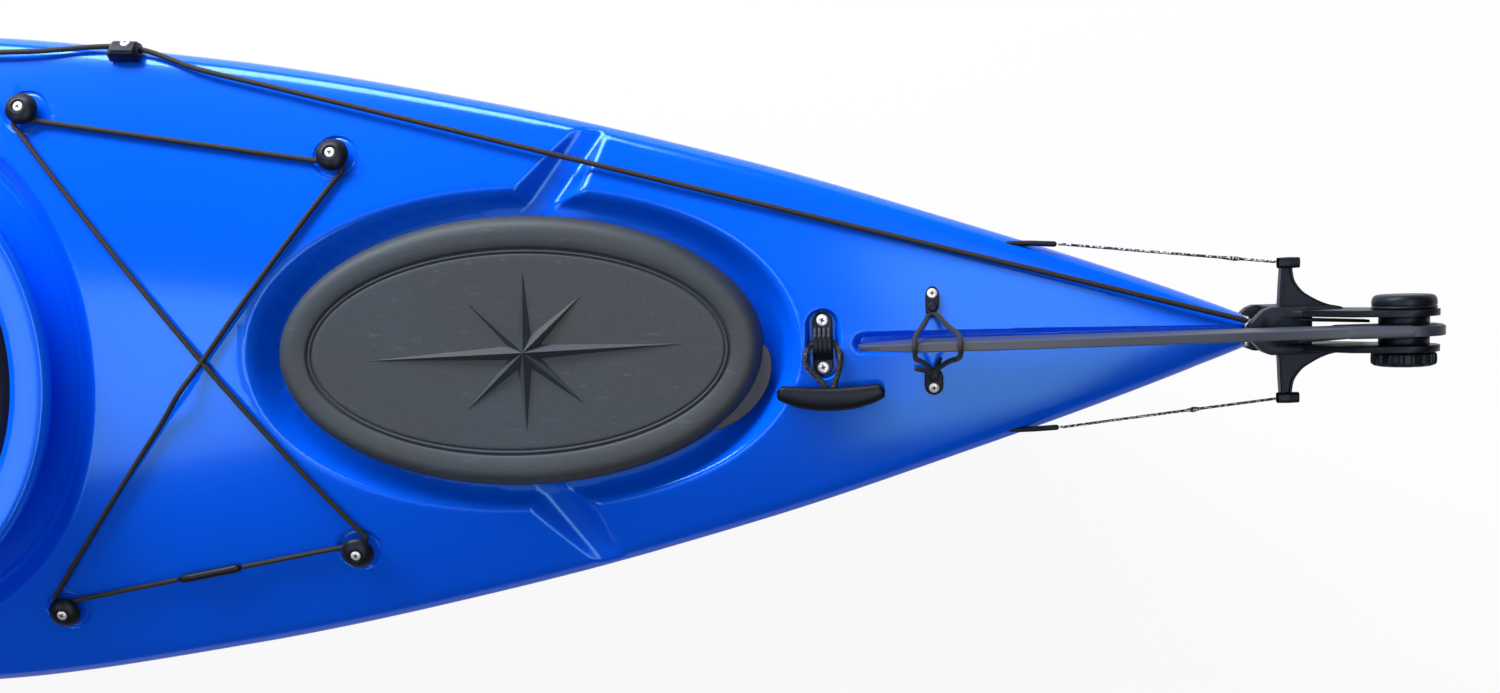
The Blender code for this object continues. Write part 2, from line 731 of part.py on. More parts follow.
def deck_shell(material):
    """The upper shell with its coaming, recesses and openings."""
    shell = make("deck_shell", loft([deck_ring(x, 0.0, seam(x) + SEAT_GAP) for x in stations()]), material, 25)
    hollow = make("deck_hollow", loft([deck_ring(x, SHELL_WALL, seam(x) - 0.03) for x in hollow_stations()]))
    for cutter in shell_cutters(SHELL_WALL):
        boolean(hollow, cutter)
    for cutter in shell_cutters(0.0):
        boolean(shell, cutter)
    boolean(shell, coaming_body(), "UNION")
    boolean(shell, hollow)
    boolean(shell, make("cockpit_well", prism(cockpit(0.0), 0.1, 0.5)))
    for end, x, length, width in hatches():
        boolean(shell, opening_cutter(f"{end}_opening", x, length, width))
    holes = bmesh.new()
    for side in (1, -1):
        route = through(tube_route(side), 0.045)[-8:]
        sweep(route, TUBE_DIAMETER / 2 + TUBE_HOLE_CLEARANCE, count=10, bm=holes)
    return boolean(shell, make("tube_holes", holes))


def bulkhead(name, x, material):
    """A plate across both shells, with a bore for each steering tube that passes it."""
    rings = []
    for place in (x - BULKHEAD_THICKNESS / 2, x + BULKHEAD_THICKNESS / 2):
        inset = SHELL_WALL + BULKHEAD_GAP
        rings.append(deck_section(place, inset) + hull_section(place, inset)[1:-1][::-1])
    return make(name, loft(rings), material)


def hatch_rim(name, x, length, width, material):
    """The bonded ring round a hatch opening: a foot, an upstand and an outward bead for the cover."""
    floor = hatch_floor(x) + SEAT_GAP
    inner = -HATCH_RIM_INSET + 0.001
    wall = HATCH_RIM_WALL

    def ring(offset, height):
        half = length / 2
        return raised(oval(x, half, half, width / 2, offset), floor + height)

    rings = [
        ring(inner, 0.0),
        ring(inner, HATCH_RIM_HEIGHT),
        ring(inner + wall + 0.003, HATCH_RIM_HEIGHT),
        ring(inner + wall + 0.003, HATCH_RIM_HEIGHT - 0.004),
        ring(inner + wall, HATCH_RIM_HEIGHT - 0.005),
        ring(inner + wall, 0.0035),
        ring(inner + HATCH_RIM_FOOT, 0.003),
        ring(inner + HATCH_RIM_FOOT, 0.0),
    ]
    return make(name, loft(rings, loop=True), material)


def hatch_cover(name, x, length, width, material):
    """A rubber cover: a fat rolled rim that grips the hatch ring, a groove line and a flat middle."""
    floor = hatch_floor(x) + SEAT_GAP
    top = COVER_HEIGHT
    bead = -HATCH_RIM_INSET + 0.001 + HATCH_RIM_WALL + 0.003
    grip = bead + SEAT_GAP
    under = HATCH_RIM_HEIGHT + SEAT_GAP
    foot = HATCH_RIM_FOOT - HATCH_RIM_INSET + 0.001

    def ring(offset, height):
        half = length / 2
        return raised(oval(x, half, half, width / 2, offset), floor + height)

    rings = [
        ring(-0.07, under), ring(grip, under), ring(grip, HATCH_RIM_HEIGHT - 0.0055),
        ring(foot + SEAT_GAP, 0.0045), ring(-0.007, 0.0045), ring(-0.001, 0.009), ring(0.0, 0.015),
        ring(-0.003, top - 0.006), ring(-0.012, top - 0.0003), ring(-0.020, top), ring(-0.0295, top - 0.003),
        ring(-0.0325, top - 0.0065), ring(-0.037, top - 0.003),
    ]
    return make(name, loft(rings), material, 40)


def pull_tab(cover, x, length, width):
    """The cover's tab: a crescent past the rim on its port quarter."""
    low = hatch_floor(x) + SEAT_GAP + 0.016
    outline = []
    for step in range(11):
        a = math.radians(COVER_TAB_SWEEP * (step / 10 - 1))
        bulge = COVER_TAB * math.sin(math.pi * step / 10) ** 0.6
        outline.append((x + (length / 2 + bulge) * math.cos(a), (width / 2 + bulge) * math.sin(a)))
    for step in range(10, -1, -1):
        a = math.radians(COVER_TAB_SWEEP * (step / 10 - 1))
        outline.append((x + (length / 2 - 0.012) * math.cos(a), (width / 2 - 0.012) * math.sin(a)))
    return boolean(cover, make(cover.name + "_tab", prism(outline, low, low + 0.005)), "UNION")


def dome(name, x, y, material):
    """A mushroom-shaped cord fitting with a sunk screw seat."""
    frame = deck_frame(x, y, DOME_DISH_DEPTH - SEAT_GAP)
    r = DOME_RADIUS
    h = DOME_HEIGHT
    profile = [
        (DOME_BOSS_RADIUS + 0.001, 0.0), (DOME_BOSS_RADIUS, 0.002), (DOME_BOSS_RADIUS, DOME_UNDERSIDE),
        (r - 0.001, DOME_UNDERSIDE), (r, DOME_UNDERSIDE + 0.0015), (r * 0.93, DOME_UNDERSIDE + 0.0045),
        (r * 0.68, h - 0.002), (0.0062, h), (0.0052, h - 0.0015),
    ]
    return make(name, turned(profile, frame, count=12), material)


def belt(pulleys, radius, turn_steps=4):
    """Plan points of a cord run round (x, y, sense) turns; sense +1 keeps the turn's centre on its right."""
    lines = []
    for (ax, ay, sa), (bx, by, sb) in zip(pulleys, pulleys[1:] + pulleys[:1]):
        reach = math.hypot(bx - ax, by - ay)
        ahead = math.atan2(by - ay, bx - ax) - math.asin((sa - sb) * radius / reach)
        left = Vector((-math.sin(ahead), math.cos(ahead)))
        lines.append((Vector((ax, ay)) + left * sa * radius, Vector((bx, by)) + left * sb * radius))
    runs = []
    for i, (start, end) in enumerate(lines):
        runs.append([start, end])
        x, y, sense = pulleys[(i + 1) % len(pulleys)]
        middle = Vector((x, y))
        leave = lines[(i + 1) % len(lines)][0]
        a = math.atan2(end.y - y, end.x - x)
        b = math.atan2(leave.y - y, leave.x - x)
        sweep_angle = (a - b) % (2 * math.pi) if sense > 0 else -((b - a) % (2 * math.pi))
        arc = []
        for step in range(1, turn_steps):
            angle = a - sweep_angle * step / turn_steps
            arc.append(middle + Vector((math.cos(angle), math.sin(angle))) * radius)
        runs.append(arc)
    return runs


def deck_bungee(name, fore, aft, material, sleeve_material):
    """A crossed bungee round four domes, with its two ends joined in a sleeve on the port side strand."""
    (fx, fy), (ax, ay) = fore, aft
    lift = BUNGEE_DIAMETER / 2 + CORD_LIFT
    fore_x, fore_y = fx - CORD_TURN_OUT, fy - CORD_TURN_IN
    aft_x, aft_y = ax + CORD_TURN_OUT, ay - CORD_TURN_IN
    turns = [(fore_x, fore_y, 1), (aft_x, aft_y, 1), (fore_x, -fore_y, -1), (aft_x, -aft_y, -1)]
    runs = belt(turns, CORD_TURN_RADIUS)
    middle = (fx + (ax - fx) * 0.5)

    def points(start, end, count, over=0.0):
        found = []
        for step in range(count + 1):
            plan = start.lerp(end, step / count)
            crossing = math.exp(-((plan - (start + end) / 2).length / 0.022) ** 2)
            found.append(deck_point(plan.x, plan.y, lift + over * crossing))
        return found

    port_start, port_end = runs[4]
    share = 0.5 * SLEEVE_LENGTH / (port_end - port_start).length
    before = port_start.lerp(port_end, 0.5 - share)
    after = port_start.lerp(port_end, 0.5 + share)
    route = points(after, port_end, 3)
    route += [deck_point(p.x, p.y, lift) for p in runs[5]]
    route += points(*runs[6], 5)
    route += [deck_point(p.x, p.y, lift) for p in runs[7]]
    route += points(*runs[0], 4)
    route += [deck_point(p.x, p.y, lift) for p in runs[1]]
    route += points(*runs[2], 12, over=BUNGEE_DIAMETER + 0.001)
    route += [deck_point(p.x, p.y, lift) for p in runs[3]]
    route += points(port_start, before, 3)
    ahead = (route[0] - route[-1]).normalized() * SEAT_GAP
    sleeve_lift = (SLEEVE_DIAMETER - BUNGEE_DIAMETER) / 2
    cord(name, route, BUNGEE_DIAMETER, material)
    raise_by = deck_normal(middle, port_start.y) * sleeve_lift
    rings = []
    for share, size in ((0.0, 0.8), (0.08, 1.0), (0.5, 1.0), (0.92, 1.0), (1.0, 0.8)):
        spot = (route[-1] + ahead).lerp(route[0] - ahead, share)
        rings.append((spot + raise_by * (0.0 if share in (0.0, 1.0) else 1.0), SLEEVE_DIAMETER / 2 * size))
    side = ahead.normalized().cross(Vector((0, 0, 1))).normalized()
    top = side.cross(ahead.normalized())
    turns = [2 * math.pi * k / 10 for k in range(10)]
    skins = [[spot + (side * math.cos(a) + top * math.sin(a)) * r for a in turns] for spot, r in rings]
    return make(name + "_sleeve", loft(skins), sleeve_material)


def hull_inside(x, z):
    """The half breadth of the hull's inside at a height."""
    half = half_breadth(x) - SHELL_WALL
    top = seam(x)
    depth = top - keel_height(x / STERN) - SHELL_WALL
    share = min(max((top - z) / depth, 0.0), 1.0)
    angle = math.acos(share ** (1 / BILGE_DEPTH))
    return half * math.sin(angle) ** BILGE_SPREAD


# Seat and backrest.
SEAT_X = STERN - SEAT_FROM_STERN


def seat(material):
    """A moulded pan with raised wings, from a dished grid given a wall."""
    bm = bmesh.new()
    rows = []
    for i in range(9):
        u = i / 8
        x = SEAT_X - SEAT_LENGTH / 2 + u * SEAT_LENGTH
        row = []
        for j in range(13):
            v = j / 6 - 1
            dish = SEAT_DISH * (1 - math.cos(math.pi * min(1, 2 * (1 - u)))) / 2
            wing = SEAT_WING * max(abs(v) - 0.62, 0.0) ** 1.5 / 0.38 ** 1.5 * (0.55 + 0.45 * u)
            nose = 0.018 * max(0.25 - u, 0.0) / 0.25
            z = SHELL_WALL + SEAT_BLOCK_HEIGHT + SEAT_GAP + SEAT_WALL + wing + nose * (1 - abs(v)) + dish * 0.3
            row.append(bm.verts.new((x, v * SEAT_HALF_WIDTH, z)))
        rows.append(row)
    for near, far in zip(rows, rows[1:]):
        for j in range(12):
            bm.faces.new((near[j], far[j], far[j + 1], near[j + 1]))
    made = make("seat", bm, material, 60)
    wall = made.modifiers.new("wall", "SOLIDIFY")
    wall.thickness = SEAT_WALL
    wall.offset = -1.0
    return made


def seat_block(material):
    """The foam block between the seat and the hull's floor."""
    low = SHELL_WALL + SEAT_GAP
    high = SHELL_WALL + SEAT_BLOCK_HEIGHT
    outline = []
    for sx, sy in ((1, 1), (-1, 1), (-1, -1), (1, -1)):
        for step in range(3):
            a = math.atan2(sy, sx) - math.pi / 4 + math.pi / 4 * step
            outline.append((SEAT_X + sx * 0.142 + 0.02 * math.cos(a), sy * 0.055 + 0.02 * math.sin(a)))
    return make("seat_block", prism(outline, low, high), material)


def seat_back_x():
    return SEAT_X + SEAT_LENGTH / 2


def backrest_pivot():
    base = SHELL_WALL + SEAT_BLOCK_HEIGHT + SEAT_GAP + SEAT_WALL
    return Vector((seat_back_x() + BACKREST_PIVOT_BACK, 0.0, base + BACKREST_PIVOT_UP))


def backrest(material):
    """A padded band that curves round the back, thick in the middle and thin at its edges."""
    pivot = backrest_pivot()
    rings = []
    for i in range(11):
        v = i / 5 - 1
        y = v * BACKREST_HALF_WIDTH
        x = pivot.x + 0.022 - BACKREST_CURVE * v * v
        swell = BACKREST_THICKNESS / 2 * (0.45 + 0.55 * math.sqrt(max(1 - v * v, 0)))
        half = BACKREST_HEIGHT / 2 * (1 - 0.28 * v ** 4)
        middle = pivot.z + 0.012 + BACKREST_HEIGHT / 2
        ring = []
        for step in range(10):
            a = 2 * math.pi * step / 10
            rise = math.copysign(abs(math.sin(a)) ** 0.7, math.sin(a))
            ring.append((x + swell * math.cos(a), y, middle + half * rise))
        rings.append(ring)
    made = make("backrest", loft(rings), material, 60)
    front = seat_back_x() + RUN_GAP
    half = BACKREST_TONGUE / 2
    tongue = box((front, -half, pivot.z - BACKREST_PIVOT_UP - SEAT_WALL), (front + 0.008, half, pivot.z + 0.03))
    bottom = box((front, -half, pivot.z + 0.022), (pivot.x + 0.026, half, pivot.z + 0.03))
    boolean(made, make("backrest_tongue", tongue), "UNION")
    boolean(made, make("backrest_root", bottom), "UNION")
    made_pivot = bpy.data.objects.new("backrest_pivot", None)
    bpy.context.scene.collection.objects.link(made_pivot)
    made_pivot.location = pivot
    made.parent = made_pivot
    made.matrix_parent_inverse = Matrix.Translation(-pivot)
    return made


def thigh_brace(name, side, material):
    """A curved plate bolted under the coaming, reaching inwards over the thigh."""
    start = COCKPIT_X - COCKPIT_FRONT + THIGH_BRACE_FROM_FRONT
    rings = []
    for i in range(7):
        u = i / 6
        x = start + u * THIGH_BRACE_LENGTH
        share = (COCKPIT_X - x) / COCKPIT_FRONT
        rim = COCKPIT_HALF_WIDTH * math.sqrt(max(1 - share * share, 0.0))
        reach = THIGH_BRACE_REACH * math.sin(math.pi * u) ** 0.6 + 0.004
        inner = rim - THIGH_BRACE_GAP
        drop = coaming_height(x) - COAMING_THICKNESS - 0.006
        t = THIGH_BRACE_THICKNESS
        section = [(inner, drop), (inner, drop - 0.030), (inner - t, drop - 0.030), (inner - t, drop - t - 0.004),
                   (inner - t - reach, drop - t - 0.012), (inner - t - reach, drop - 0.012), (inner - t, drop)]
        rings.append([(x, side * y, z) for y, z in section])
    return make(name, loft(rings), material, 40)


def rail_ends(side):
    front = STERN - FOOT_RAIL_FROM_STERN
    return [Vector((x, side * (hull_inside(x, FOOT_RAIL_HEIGHT - FOOT_RAIL_DEPTH / 2) - RAIL_GAP), FOOT_RAIL_HEIGHT))
            for x in (front, front + FOOT_RAIL_LENGTH)]


def pad_corner(side, place):
    """A corner of a rail pad moved along Y until it stands a gap off the hull's inside."""
    spot = rail_frame(side) @ Vector(place)
    spot.y = side * (hull_inside(spot.x, spot.z) - RAIL_GAP)
    return spot


def rail_frame(side):
    """X along the rail towards the stern, Y inboard from the hull side, Z up; origin at the rail's front."""
    front, back = rail_ends(side)
    along = (back - front).normalized()
    inboard = Vector((0, 0, 1)).cross(along) * (-side)
    if side * inboard.y > 0:
        inboard = -inboard
    up = Vector((0, 0, 1))
    frame = Matrix((along, inboard, up)).transposed().to_4x4()
    frame.translation = front
    return frame


def foot_rail(name, side, material):
    """A track on two pads that hold it off the hull's side."""
    frame = rail_frame(side)
    high = FOOT_RAIL_DEPTH / 2 - 0.002
    bar = make(name, box((0, 0.010, -FOOT_RAIL_DEPTH / 2),
                         (FOOT_RAIL_LENGTH, 0.010 + FOOT_RAIL_THICKNESS, FOOT_RAIL_DEPTH / 2), frame=frame), material)
    for word, x in (("front", 0.001), ("back", FOOT_RAIL_LENGTH - FOOT_RAIL_PAD - 0.001)):
        rings = []
        for along in (x, x + FOOT_RAIL_PAD):
            corners = [pad_corner(side, (along, 0.0, z)) for z in (-high, high)]
            corners += [frame @ Vector((along, 0.012, z)) for z in (high, -high)]
            rings.append(corners)
        pad = make(f"{name}_{word}_pad", loft(rings))
        boolean(bar, pad, "UNION")
    return bar


def pedal(name, side, material):
    """A foot plate on a carriage that wraps the rail and slides along it."""
    frame = rail_frame(side)
    x = FOOT_RAIL_LENGTH / 2
    gap = RUN_GAP
    low = 0.010
    high = 0.010 + FOOT_RAIL_THICKNESS
    half = FOOT_RAIL_DEPTH / 2
    outline = [(low - 0.004, -half - gap - 0.004), (high + gap + 0.004, -half - gap - 0.004),
               (high + gap + 0.004, half + gap + 0.004), (low - 0.004, half + gap + 0.004),
               (low - 0.004, half - 0.005), (low - gap, half - 0.005), (low - gap, half + gap),
               (high + gap, half + gap), (high + gap, -half - gap), (low - gap, -half - gap),
               (low - gap, -half + 0.005), (low - 0.004, -half + 0.005)]
    rings = [[(x + shift, y, z) for y, z in outline] for shift in (-0.022, 0.022)]
    carriage = make(name, loft(rings, frame=frame), material)
    plate = []
    for i in range(7):
        u = i / 6
        z = -PEDAL_PLATE_HEIGHT / 2 + u * PEDAL_PLATE_HEIGHT
        curve = 0.014 * (2 * u - 1) ** 2
        near = high + gap + 0.002
        far = near + PEDAL_WIDTH * (1 - 0.25 * (2 * u - 1) ** 2)
        plate.append([(x + curve, near, z), (x + curve + PEDAL_THICKNESS, near, z),
                      (x + curve + PEDAL_THICKNESS, far, z), (x + curve, far, z)])
    return boolean(carriage, make(name + "_plate", loft(plate, frame=frame)), "UNION")


# Rudder places that follow from the deck and the yaw pin.
PIN_X = STERN + PIN_BEHIND_STERN
STOWED_EDGE = ridge(STERN) + STOW_CLEARANCE
PIVOT_X = PIN_X + PIVOT_FROM_PIN
PIVOT_Z = STOWED_EDGE + BLADE_ROOT_RADIUS
HOUSING_TOP = STOWED_EDGE - YAW_CLEARANCE
BRACKET_TOP = HOUSING_TOP - LUG_THICKNESS - RUN_GAP
BRACKET_BOTTOM = BRACKET_TOP - BRACKET_HEIGHT
HOUSING_BOTTOM = BRACKET_BOTTOM - RUN_GAP - LUG_THICKNESS
CHEEK_INNER = BLADE_THICKNESS / 2 + 2 * SEAT_GAP + HUB_WASHER
CHEEK_OUTER = CHEEK_INNER + CHEEK_THICKNESS
ARM_TOP = HOUSING_TOP - 0.006
BORE_RADIUS = PIN_RADIUS + SEAT_GAP


def joint_empty(name, place):
    made = bpy.data.objects.new(name, None)
    bpy.context.scene.collection.objects.link(made)
    made.location = place
    return made


def hang(piece, empty):
    """Parents a piece to its joint's empty without moving it."""
    piece.parent = empty
    piece.matrix_parent_inverse = Matrix.Translation(-Vector(empty.location))
    return piece


def stern_bracket(material):
    """The gudgeon: a plate on the stern's face, a neck and the tube that carries the yaw pin."""
    face = STERN + SEAT_GAP
    half = min(BRACKET_PLATE_WIDTH / 2, half_breadth(STERN) - 0.001)
    plate = make("stern_bracket", box((face, -half, BRACKET_BOTTOM),
                                      (face + BRACKET_PLATE, half, BRACKET_TOP)), material)
    neck = box((face + 0.001, -BRACKET_NECK / 2, BRACKET_BOTTOM), (PIN_X, BRACKET_NECK / 2, BRACKET_TOP))
    boolean(plate, make("bracket_neck", neck), "UNION")
    tube = turned([(BRACKET_RADIUS, BRACKET_BOTTOM), (BRACKET_RADIUS, BRACKET_TOP)],
                  Matrix.Translation((PIN_X, 0, 0)), count=24)
    boolean(plate, make("bracket_tube", tube), "UNION")
    bore = turned([(BORE_RADIUS, BRACKET_BOTTOM - 0.01), (BORE_RADIUS, BRACKET_TOP + 0.01)],
                  Matrix.Translation((PIN_X, 0, 0)), count=16)
    return boolean(plate, make("bracket_bore", bore))


def rudder_pin(material):
    under = HOUSING_BOTTOM - SEAT_GAP
    bottom = under - PIN_HEAD_HEIGHT
    profile = [(PIN_HEAD_RADIUS - 0.001, bottom), (PIN_HEAD_RADIUS, bottom + 0.001),
               (PIN_HEAD_RADIUS, under), (PIN_RADIUS, under), (PIN_RADIUS, HOUSING_TOP - 0.0016),
               (PIN_RADIUS - 0.0008, HOUSING_TOP - 0.0008)]
    return make("rudder_pin", turned(profile, Matrix.Translation((PIN_X, 0, 0)), count=16), material)


def across_y(side, place):
    """A frame whose Z points out along the given side of Y, at a height on the pivot's axis."""
    return Matrix.Translation((PIVOT_X, side * place, PIVOT_Z)) @ Matrix.Rotation(-side * math.pi / 2, 4, "X")


def housing(name, side, material):
    """One moulded half: lugs over and under the gudgeon, the web between them, an arm and a cheek."""
    lug = [(-LUG_FRONT, 0.0), (-LUG_FRONT * 0.95, LUG_FRONT * 0.31), (-LUG_FRONT * 0.81, LUG_FRONT * 0.59),
           (-LUG_FRONT * 0.59, LUG_FRONT * 0.81), (-LUG_FRONT * 0.3, 0.0145), (0.0, 0.018),
           (0.006, LUG_HALF_WIDTH), (HOUSING_BACK - 0.006, LUG_HALF_WIDTH),
           (HOUSING_BACK, LUG_HALF_WIDTH - 0.005), (HOUSING_BACK, 0.0)]
    outline = [(PIN_X + x, side * (y + HOUSING_SPLIT / 2)) for x, y in lug]
    half = make(name, prism(outline, HOUSING_BOTTOM, HOUSING_TOP), material)
    pocket = box((PIN_X - 0.03, -0.04, BRACKET_BOTTOM - RUN_GAP),
                 (PIN_X + BRACKET_RADIUS + RUN_GAP, 0.04, BRACKET_TOP + RUN_GAP))
    boolean(half, make(name + "_pocket", pocket))
    boolean(half, make(name + "_cheek", cheek(side)), "UNION")
    boolean(half, make(name + "_arm", arm(side)), "UNION")
    ends = Matrix.Translation((PIN_X + ARM_SWEEP, side * ARM_REACH, 0))
    roller = turned([(ARM_END_RADIUS - 0.001, ARM_TOP - ARM_THICKNESS - 0.002),
                     (ARM_END_RADIUS, ARM_TOP - ARM_THICKNESS - 0.001), (ARM_END_RADIUS, ARM_TOP + 0.001),
                     (ARM_END_RADIUS - 0.001, ARM_TOP + 0.002)], ends, count=16)
    boolean(half, make(name + "_roller", roller), "UNION")
    bores = turned([(BORE_RADIUS, HOUSING_BOTTOM - 0.01), (BORE_RADIUS, HOUSING_TOP + 0.01)],
                   Matrix.Translation((PIN_X, 0, 0)), count=16)
    turned([(BORE_RADIUS, -0.02), (BORE_RADIUS, 0.02)], across_y(side, CHEEK_INNER), count=16, bm=bores)
    return boolean(half, make(name + "_bores", bores))


def cheek(side):
    """The side plate, from the web up to a round end on the blade's pivot, with a tail tab."""
    outline = [(0.012, HOUSING_BOTTOM + 0.006), (HOUSING_BACK, HOUSING_BOTTOM + 0.010)]
    points = [(PIN_X + x, z) for x, z in outline]
    for step in range(11):
        a = math.radians(-75 + 175 * step / 10)
        points.append((PIVOT_X + CHEEK_END_RADIUS * math.cos(a), PIVOT_Z + CHEEK_END_RADIUS * math.sin(a)))
    points += [(PIN_X + 0.060, PIVOT_Z + 0.010), (PIN_X + 0.030, HOUSING_TOP + 0.006)]
    points.append((PIN_X + 0.012, HOUSING_TOP - 0.001))
    rings = [[(x, side * y, z) for x, z in points] for y in (CHEEK_INNER, CHEEK_OUTER)]
    return loft(rings)


def arm(side):
    """The yoke arm for a steering line, with a long concave fillet along the housing."""
    tip = ARM_REACH
    outline = [(0.010, 0.010), (0.014, 0.024), (ARM_SWEEP - 0.006, tip), (ARM_SWEEP + 0.005, tip),
               (ARM_SWEEP + 0.008, tip - 0.015), (ARM_SWEEP + 0.013, tip - 0.024), (ARM_SWEEP + 0.022, tip - 0.031),
               (ARM_SWEEP + 0.034, tip - 0.037), (ARM_SWEEP + 0.045, CHEEK_OUTER + 0.001),
               (ARM_SWEEP + 0.045, CHEEK_INNER + 0.001), (0.030, CHEEK_INNER + 0.001)]
    return prism([(PIN_X + x, side * y) for x, y in outline], ARM_TOP - ARM_THICKNESS, ARM_TOP)


def blade(material):
    """The rudder blade: a round root on the pivot, a straight lower edge and a swept, rounded tip."""
    length = BLADE_LENGTH
    places = (-0.995, -0.93, -0.8, -0.55, -0.2, 0.3)
    spans = [BLADE_ROOT_RADIUS * p for p in places] + [0.03, 0.08, 0.16, 0.25, 0.33]
    spans += [length - BLADE_CORNER * (1 - math.sin(math.radians(a))) for a in (0, 20, 38, 54, 68, 79, 88)]
    upper = fair(((0.0, BLADE_ROOT_RADIUS), (0.07, BLADE_ROOT_RADIUS - 0.004), (0.16, BLADE_ROOT_RADIUS + 0.004),
                  (0.33, BLADE_TIP_WIDTH - BLADE_ROOT_RADIUS), (length, BLADE_TIP_WIDTH - BLADE_ROOT_RADIUS)))
    rings = []
    for span in spans:
        low = -BLADE_ROOT_RADIUS
        high = upper(span)
        thick = BLADE_THICKNESS / 2 * (1.0 if span < 0.05 else 0.86)
        if span < 0:
            high = math.sqrt(BLADE_ROOT_RADIUS ** 2 - span ** 2)
            low = -high
        past = span - (length - BLADE_CORNER)
        if past > 0:
            fall = BLADE_CORNER - math.sqrt(max(BLADE_CORNER ** 2 - past ** 2, 0.0))
            low += fall * 0.75
            high -= fall * 0.55
            thick *= 1 - 0.55 * past / BLADE_CORNER
        edge = min(BLADE_EDGE / 2, thick)
        wide = high - low
        section = ((low, edge), (low + 0.18 * wide, thick), (high - 0.25 * wide, thick), (high, edge))
        ring = [(PIVOT_X - span, y, PIVOT_Z + z) for z, y in section]
        ring += [(PIVOT_X - span, -y, PIVOT_Z + z) for z, y in section[::-1]]
        rings.append(ring)
    made = make("rudder_blade", loft(rings), material, 25)
    bore = turned([(BORE_RADIUS, -0.03), (BORE_RADIUS, 0.03)], across_y(1, 0.0), count=16)
    return boolean(made, make("blade_bore", bore))


def hub_washer(name, side, material):
    """The spacer between the blade's root and a cheek."""
    inner = BLADE_THICKNESS / 2 + SEAT_GAP
    rings = [circle(r, z, 20) for r, z in ((BORE_RADIUS, 0), (HUB_RADIUS, 0), (HUB_RADIUS, HUB_WASHER),
                                           (BORE_RADIUS, HUB_WASHER))]
    return make(name, loft(rings, loop=True, frame=across_y(side, inner)), material)


def pivot_bolt(material):
    reach = CHEEK_OUTER + 2 * SEAT_GAP + 0.007
    profile = [(BOLT_RADIUS - 0.0006, -reach), (BOLT_RADIUS, -reach + 0.0006), (BOLT_RADIUS, reach - 0.0006),
               (BOLT_RADIUS - 0.0006, reach)]
    return make("pivot_bolt", turned(profile, across_y(1, 0.0), count=16), material)


def pivot_knob(material):
    """The smooth two-step cap over the bolt's starboard end."""
    r, h = KNOB_RADIUS, KNOB_HEIGHT
    profile = [(r - 0.002, 0.0), (r, 0.0012), (r, 0.0045), (r - 0.0015, 0.0055), (r - 0.002, h - 0.004),
               (r - 0.004, h - 0.0012), (r - 0.009, h), (0.004, h)]
    frame = across_y(1, CHEEK_OUTER + SEAT_GAP)
    made = make("pivot_knob", turned(profile, frame, count=24), material)
    bore = turned([(BORE_RADIUS, -0.01), (BORE_RADIUS, 0.008)], frame, count=16)
    return boolean(made, make("knob_bore", bore))


def pivot_nut(material):
    """The ribbed hand nut on the bolt's port end."""
    def ring(radius, height):
        points = []
        for i in range(NUT_RIBS * 2):
            a = 2 * math.pi * i / (NUT_RIBS * 2)
            r = radius - (NUT_RIB_DEPTH if i % 2 else 0.0)
            points.append((r * math.cos(a), r * math.sin(a), height))
        return points

    r, h = KNOB_RADIUS, KNOB_HEIGHT
    frame = across_y(-1, CHEEK_OUTER + SEAT_GAP)
    rings = [ring(r - 0.003, 0.0), ring(r, 0.0015), ring(r, h - 0.003), ring(r - 0.003, h)]
    made = make("pivot_nut", loft(rings, frame=frame), material, 20)
    bore = turned([(BORE_RADIUS, -0.01), (BORE_RADIUS, 0.008)], frame, count=16)
    return boolean(made, make("nut_bore", bore))


# Carry toggles, each lying on the port side of its padeye.
def padeye(name, x, material):
    """A strap across the boat with a screwed foot at each end and a raised middle for the cord."""
    frame = padeye_frame(x) @ Matrix.Translation((0, 0, SEAT_GAP))
    half = PADEYE_LENGTH / 2
    wide = PADEYE_WIDTH / 2
    t = PADEYE_STRAP
    rise = PADEYE_RISE
    profile = [(-half, 0.0, 0.6), (-half + 0.004, 0.0, 1.0), (-0.012, 0.0, 1.0), (-0.0065, rise - t, 0.9),
               (0.0065, rise - t, 0.9), (0.012, 0.0, 1.0), (half - 0.004, 0.0, 1.0), (half, 0.0, 0.6)]
    rings = []
    for y, z, share in profile:
        w = wide * share
        rings.append([(-w, y, z), (w, y, z), (w, y, z + t - 0.001), (w - 0.0015, y, z + t),
                      (-w + 0.0015, y, z + t), (-w, y, z + t - 0.001)])
    return make(name, loft(rings, frame=frame), material)


def toggle_pivot(x):
    return padeye_frame(x) @ Vector((0, 0, SEAT_GAP + TOGGLE_CORD_DIAMETER / 2 + CORD_LIFT))


def toggle_cord(name, x, material):
    """The loop from the grip, up over the dish's edge, under the strap and back."""
    pivot = toggle_pivot(x)
    half = []
    for across, aside, lift in ((-GRIP_FROM_PADEYE + GRIP_DEPTH / 2 + 0.0005, 0.004, 0.0065), (-0.029, 0.010, 0.0052),
                                (-0.018, 0.015, 0.0040), (-0.009, 0.0152, 0.0024), (-0.003, 0.0132, -0.0050),
                                (0.0, 0.0095, None)):
        z = pivot.z if lift is None else max(deck_height(x, across) + lift, pivot.z)
        half.append((aside, across, z))
    lean = [GRIP_AFT_OF_PADEYE, GRIP_AFT_OF_PADEYE / 2] + [0.0] * (len(half) - 2)
    chosen = [(x + shift + a, y, z) for shift, (a, y, z) in zip(lean, half)] + [(x, 0.0, pivot.z)]
    chosen += [(x + shift - a, y, z) for shift, (a, y, z) in zip(lean[::-1], half[::-1])]
    return cord(name, through(chosen, 0.009), TOGGLE_CORD_DIAMETER, material)


